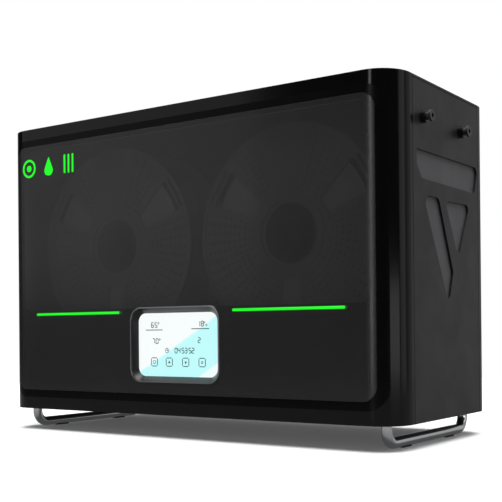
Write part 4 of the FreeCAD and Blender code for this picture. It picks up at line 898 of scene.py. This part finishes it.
def add_spool(side):
    """A whole spool: cut flange, raised label field, drum and rear flange."""
    low, high = SPOOLS[side]
    centre = (low + high) / 2
    flange = add_flange(f"spool_front_{side}", centre, low.y)
    reach = 4 * FLANGE_THICK
    start = low.y - FLANGE_THICK
    cut_away(flange, add_hole_cutters(centre, low.y))
    for turn in (-SIGHT_TURN, SIGHT_TURN):
        angle = math.radians(turn)
        cut_away(flange, add_wedge("sight", centre, start, reach, *SIGHT_SHAPE, angle))
        cut_away(flange, add_wedge("slit", centre, start, reach, *SLIT_SHAPE, angle))
    cut_away(flange, add_wedge("slot", centre, start, reach, *SLOT_SHAPE, math.pi))
    label = add_wedge("label_field", centre, low.y, WEB_SINK * 1.5, *LABEL_SHAPE, 0)
    drum = add_disc("drum", centre, DRUM_RADIUS, SPOOL_WIDTH - 2 * FLANGE_THICK + WEB_SINK, 64)
    rear_place = (centre.x, high.y - FLANGE_THICK / 2, centre.z)
    rear = add_disc("rear_flange", rear_place, SPOOL_RADIUS, FLANGE_THICK, 128)
    spool = joined(f"spool_{side}_moulding", [flange, label, drum, rear])
    cut_away(spool, add_disc("bore", centre, BORE_RADIUS, SPOOL_WIDTH + 2 * MM, 64))
    smooth(spool, 35)
    spool.data.materials.clear()
    spool.data.materials.append(finishes["spool_plastic"])
    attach(spool, f"spool_{side}")
    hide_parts(f"spool_{side}")
    return spool


for side in SPOOLS:
    spool = add_spool(side)
    print(spool.name, len(spool.data.polygons), "faces")

# %% [markdown]
# ## The picture on the display
# The display shows seven-segment numbers, two rules and four touch keys in teal. They are modelled as
# thin ink on the touch glass, because real shapes stay sharp from any distance and need no image. Every
# number is built from one shape, a thin flat bar, and all the ink is joined into one piece.

# %% One bar of ink
DIGIT = (2.6 * MM, 4.6 * MM)
STROKE = 0.8 * MM
INK_DEPTH = 0.12 * MM
GLASS_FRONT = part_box("display_glass")[0].y


def add_bar(name, place, length, upright=False):
    """A thin flat bar lying on the glass, level or upright."""
    bpy.ops.mesh.primitive_cube_add(size=1, location=(0, 0, 0))
    bar = new_piece(name)
    bar.scale = (length, INK_DEPTH, STROKE)
    settle(bar)
    bar.rotation_euler = (0, math.radians(90) if upright else 0, 0)
    bar.location = (place[0], GLASS_FRONT - INK_DEPTH / 2, SCREEN_LEVEL + place[1])
    return settle(bar)


print("ink on the glass, whose front lies at", round(GLASS_FRONT, 4))

# %% Numbers from segments
SEGMENT_PLACES = {
    "a": (0, 1, False), "b": (0.5, 0.5, True), "c": (0.5, -0.5, True), "d": (0, -1, False),
    "e": (-0.5, -0.5, True), "f": (-0.5, 0.5, True), "g": (0, 0, False),
}
SEGMENTS_OF = {
    "0": "abcdef", "1": "bc", "2": "abged", "3": "abgcd", "4": "fgbc",
    "5": "afgcd", "6": "afgedc", "7": "abc", "8": "abcdefg", "9": "abcdfg",
}


def add_digit(digit, x, z):
    """One seven-segment figure centred at x, z on the panel."""
    bars = []
    for segment in SEGMENTS_OF[digit]:
        across, up, upright = SEGMENT_PLACES[segment]
        place = (x + across * DIGIT[0], z + up * DIGIT[1] / 2)
        length = (DIGIT[1] / 2 if upright else DIGIT[0]) - STROKE * 0.5
        bars.append(add_bar("segment", place, length, upright))
    return bars


def add_ring(x, z, radius):
    """A thin ring, used for the degree sign and the clock."""
    bpy.ops.mesh.primitive_torus_add(
        major_radius=radius, minor_radius=STROKE * 0.35, major_segments=24, minor_segments=6,
        location=(0, 0, 0), rotation=FACING,
    )
    ring = new_piece("ring")
    settle(ring)
    ring.scale = (1, INK_DEPTH / (STROKE * 0.7), 1)
    ring.location = (x, GLASS_FRONT - INK_DEPTH / 2, SCREEN_LEVEL + z)
    return settle(ring)


print("segments for", len(SEGMENTS_OF), "figures")

# %% Temperatures, humidity and time left
DIGIT_STEP = 4.3 * MM
TIME_STEP = 3.6 * MM
PAIR_GAP = 1.2 * MM
TIME_LEVEL = -5.5 * MM
ink = []
for digits, x, z in (("65", -30.4, 18.7), ("70", -29.0, 3.4), ("18", 26.0, 19.4), ("2", 26.4, 4.2)):
    for place, digit in enumerate(digits):
        ink += add_digit(digit, x * MM + place * DIGIT_STEP, z * MM)
for place, digit in enumerate("045352"):
    gap = place // 2 * PAIR_GAP
    ink += add_digit(digit, -1.4 * MM + place * TIME_STEP + gap, TIME_LEVEL)
for x, z in ((-22.9, 20.3), (-21.5, 5.0)):
    ink.append(add_ring(x * MM, z * MM, 0.75 * MM))
print(len(ink), "bars and rings of ink")

# %% Rules, percent sign and clock
CLOCK_MIDDLE = -12.5 * MM
HAND_LENGTH = 1.6 * MM
HAND_REACH = 0.7 * MM
for x, z in ((-28.4, 14.0), (27.7, 14.8)):
    ink.append(add_bar("rule", (x * MM, z * MM), 20.8 * MM))
for x, z in ((32.6, 20.6), (35.0, 18.2)):
    ink.append(add_ring(x * MM, z * MM, 0.7 * MM))
ink.append(add_ring(CLOCK_MIDDLE, TIME_LEVEL, 2.2 * MM))
ink.append(add_bar("hand", (CLOCK_MIDDLE, TIME_LEVEL + HAND_REACH), HAND_LENGTH, True))
ink.append(add_bar("hand", (CLOCK_MIDDLE + HAND_REACH, TIME_LEVEL), HAND_LENGTH))
print(len(ink), "pieces of ink with the clock")

# %% Four touch keys
KEY_HALF_WIDE = 3.8 * MM
KEY_HALF_TALL = 3.9 * MM
KEY_SIDE_LENGTH = 6.708 * MM
KEY_END_LENGTH = 6.08 * MM
KEY_LEVEL = -16.4 * MM
ARROW_LEVEL = -16.6 * MM
KEY_PLACES = [place * MM for place in (-28.3, -9.8, 10.1, 29.7)]
for x in KEY_PLACES:
    for side in (-1, 1):
        edge = (x + side * KEY_HALF_WIDE, KEY_LEVEL)
        ink.append(add_bar("key_side", edge, KEY_SIDE_LENGTH, True))
        edge = (x, KEY_LEVEL + side * KEY_HALF_TALL)
        ink.append(add_bar("key_end", edge, KEY_END_LENGTH))


def add_arrow(x, turn):
    """A solid triangle on a key."""
    bpy.ops.mesh.primitive_cylinder_add(vertices=3, radius=1.7 * MM, depth=INK_DEPTH, location=(0, 0, 0))
    arrow = settle(new_piece("arrow"))
    arrow.rotation_euler = (math.radians(90), turn, 0)
    arrow.location = (x, GLASS_FRONT - INK_DEPTH / 2, SCREEN_LEVEL + ARROW_LEVEL)
    return settle(arrow)


ink.append(add_arrow(KEY_PLACES[1], 0))
ink.append(add_arrow(KEY_PLACES[2], math.pi))
ink.append(add_ring(KEY_PLACES[0], KEY_LEVEL, 1.6 * MM))
ink.append(add_ring(KEY_PLACES[3], KEY_LEVEL, 1.0 * MM))
print(len(ink), "pieces of ink with the keys")


# %% Teal ink, and all of it joined
def teal_ink():
    """Teal ink on the glass: dark and matt, with a trace of the backlight in it."""
    material, tree, shader = finish("teal_display_ink", Roughness=0.5, Emission_Strength=0.5)
    shader.inputs["Emission Color"].default_value = linear("#2E5557")
    two_tones(tree, shader, "#16393B", "#1E4547", 1)
    return material


picture = joined("display_picture", ink)
picture.data.materials.clear()
picture.data.materials.append(teal_ink())
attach(picture, "case")
print("picture has", len(picture.data.polygons), "faces")

# %% [markdown]
# ## Display bezel and light bars with rounded edges
# The light guides have round ends on the real thing, and the bezel's front faces are given a lighter grey
# metal. A copy of the part gets its sharp edges rounded by a Bevel modifier, and stands for it. A design
# part comes as loose triangles, so its copy is first merged into one skin.

# %% A copy with rounded edges
frame_body = {
    member: body for body, members in record["behaviour"]["bodies"].items() for member in members
}


def rounded_copy(node, width, segments, name):
    """A copy of a design part with its outer edges rounded; it stands for that part."""
    twin = copy_of(nodes[node])
    twin.parent = None
    for key in list(twin.keys()):
        del twin[key]
    twin.name = name
    edit_faces(twin, lambda face: True)
    bpy.ops.mesh.select_all(action="SELECT")
    bpy.ops.mesh.remove_doubles(threshold=0.001 * MM)
    bpy.ops.mesh.dissolve_limited(angle_limit=math.radians(1))
    leave_edit()
    apply_modifier(
        twin, "BEVEL", width=width, segments=segments, limit_method="ANGLE",
        angle_limit=math.radians(60), use_clamp_overlap=True,
    )
    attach(twin, frame_body[node])
    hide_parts(node)
    return smooth(twin, 40)


print("helper for rounded copies ready")

# %% Rounded light bars
bars = rounded_copy("light_bars", 1.1 * MM, 4, "light_guides")
print("light bars have", len(bars.data.polygons), "faces")


# %% Bezel with lighter grey metal on its front faces
def light_grey_edge_metal():
    """Lighter grey metal with a soft shine, for the bezel's front faces."""
    material, tree, shader = finish("light_grey_metal_edge", Metallic=1.0)
    uneven(tree, shader, "Roughness", 0.4, 0.5, 4)
    two_tones(tree, shader, "#8E8E90", "#9B9B9D", 5)
    return material


bezel = rounded_copy("display_bezel", 0.25 * MM, 2, "bezel_with_light_grey_edge")
bezel.data.materials.append(light_grey_edge_metal())
# Faces within 0.3 mm of the bezel's front get the lighter grey metal.
bezel_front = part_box("display_bezel")[0].y
edge_faces = [face for face in bezel.data.polygons if face.center.y < bezel_front + 0.3 * MM]
for face in edge_faces:
    face.material_index = 1
print("bezel has", len(bezel.data.polygons), "faces,", len(edge_faces), "of them bright")
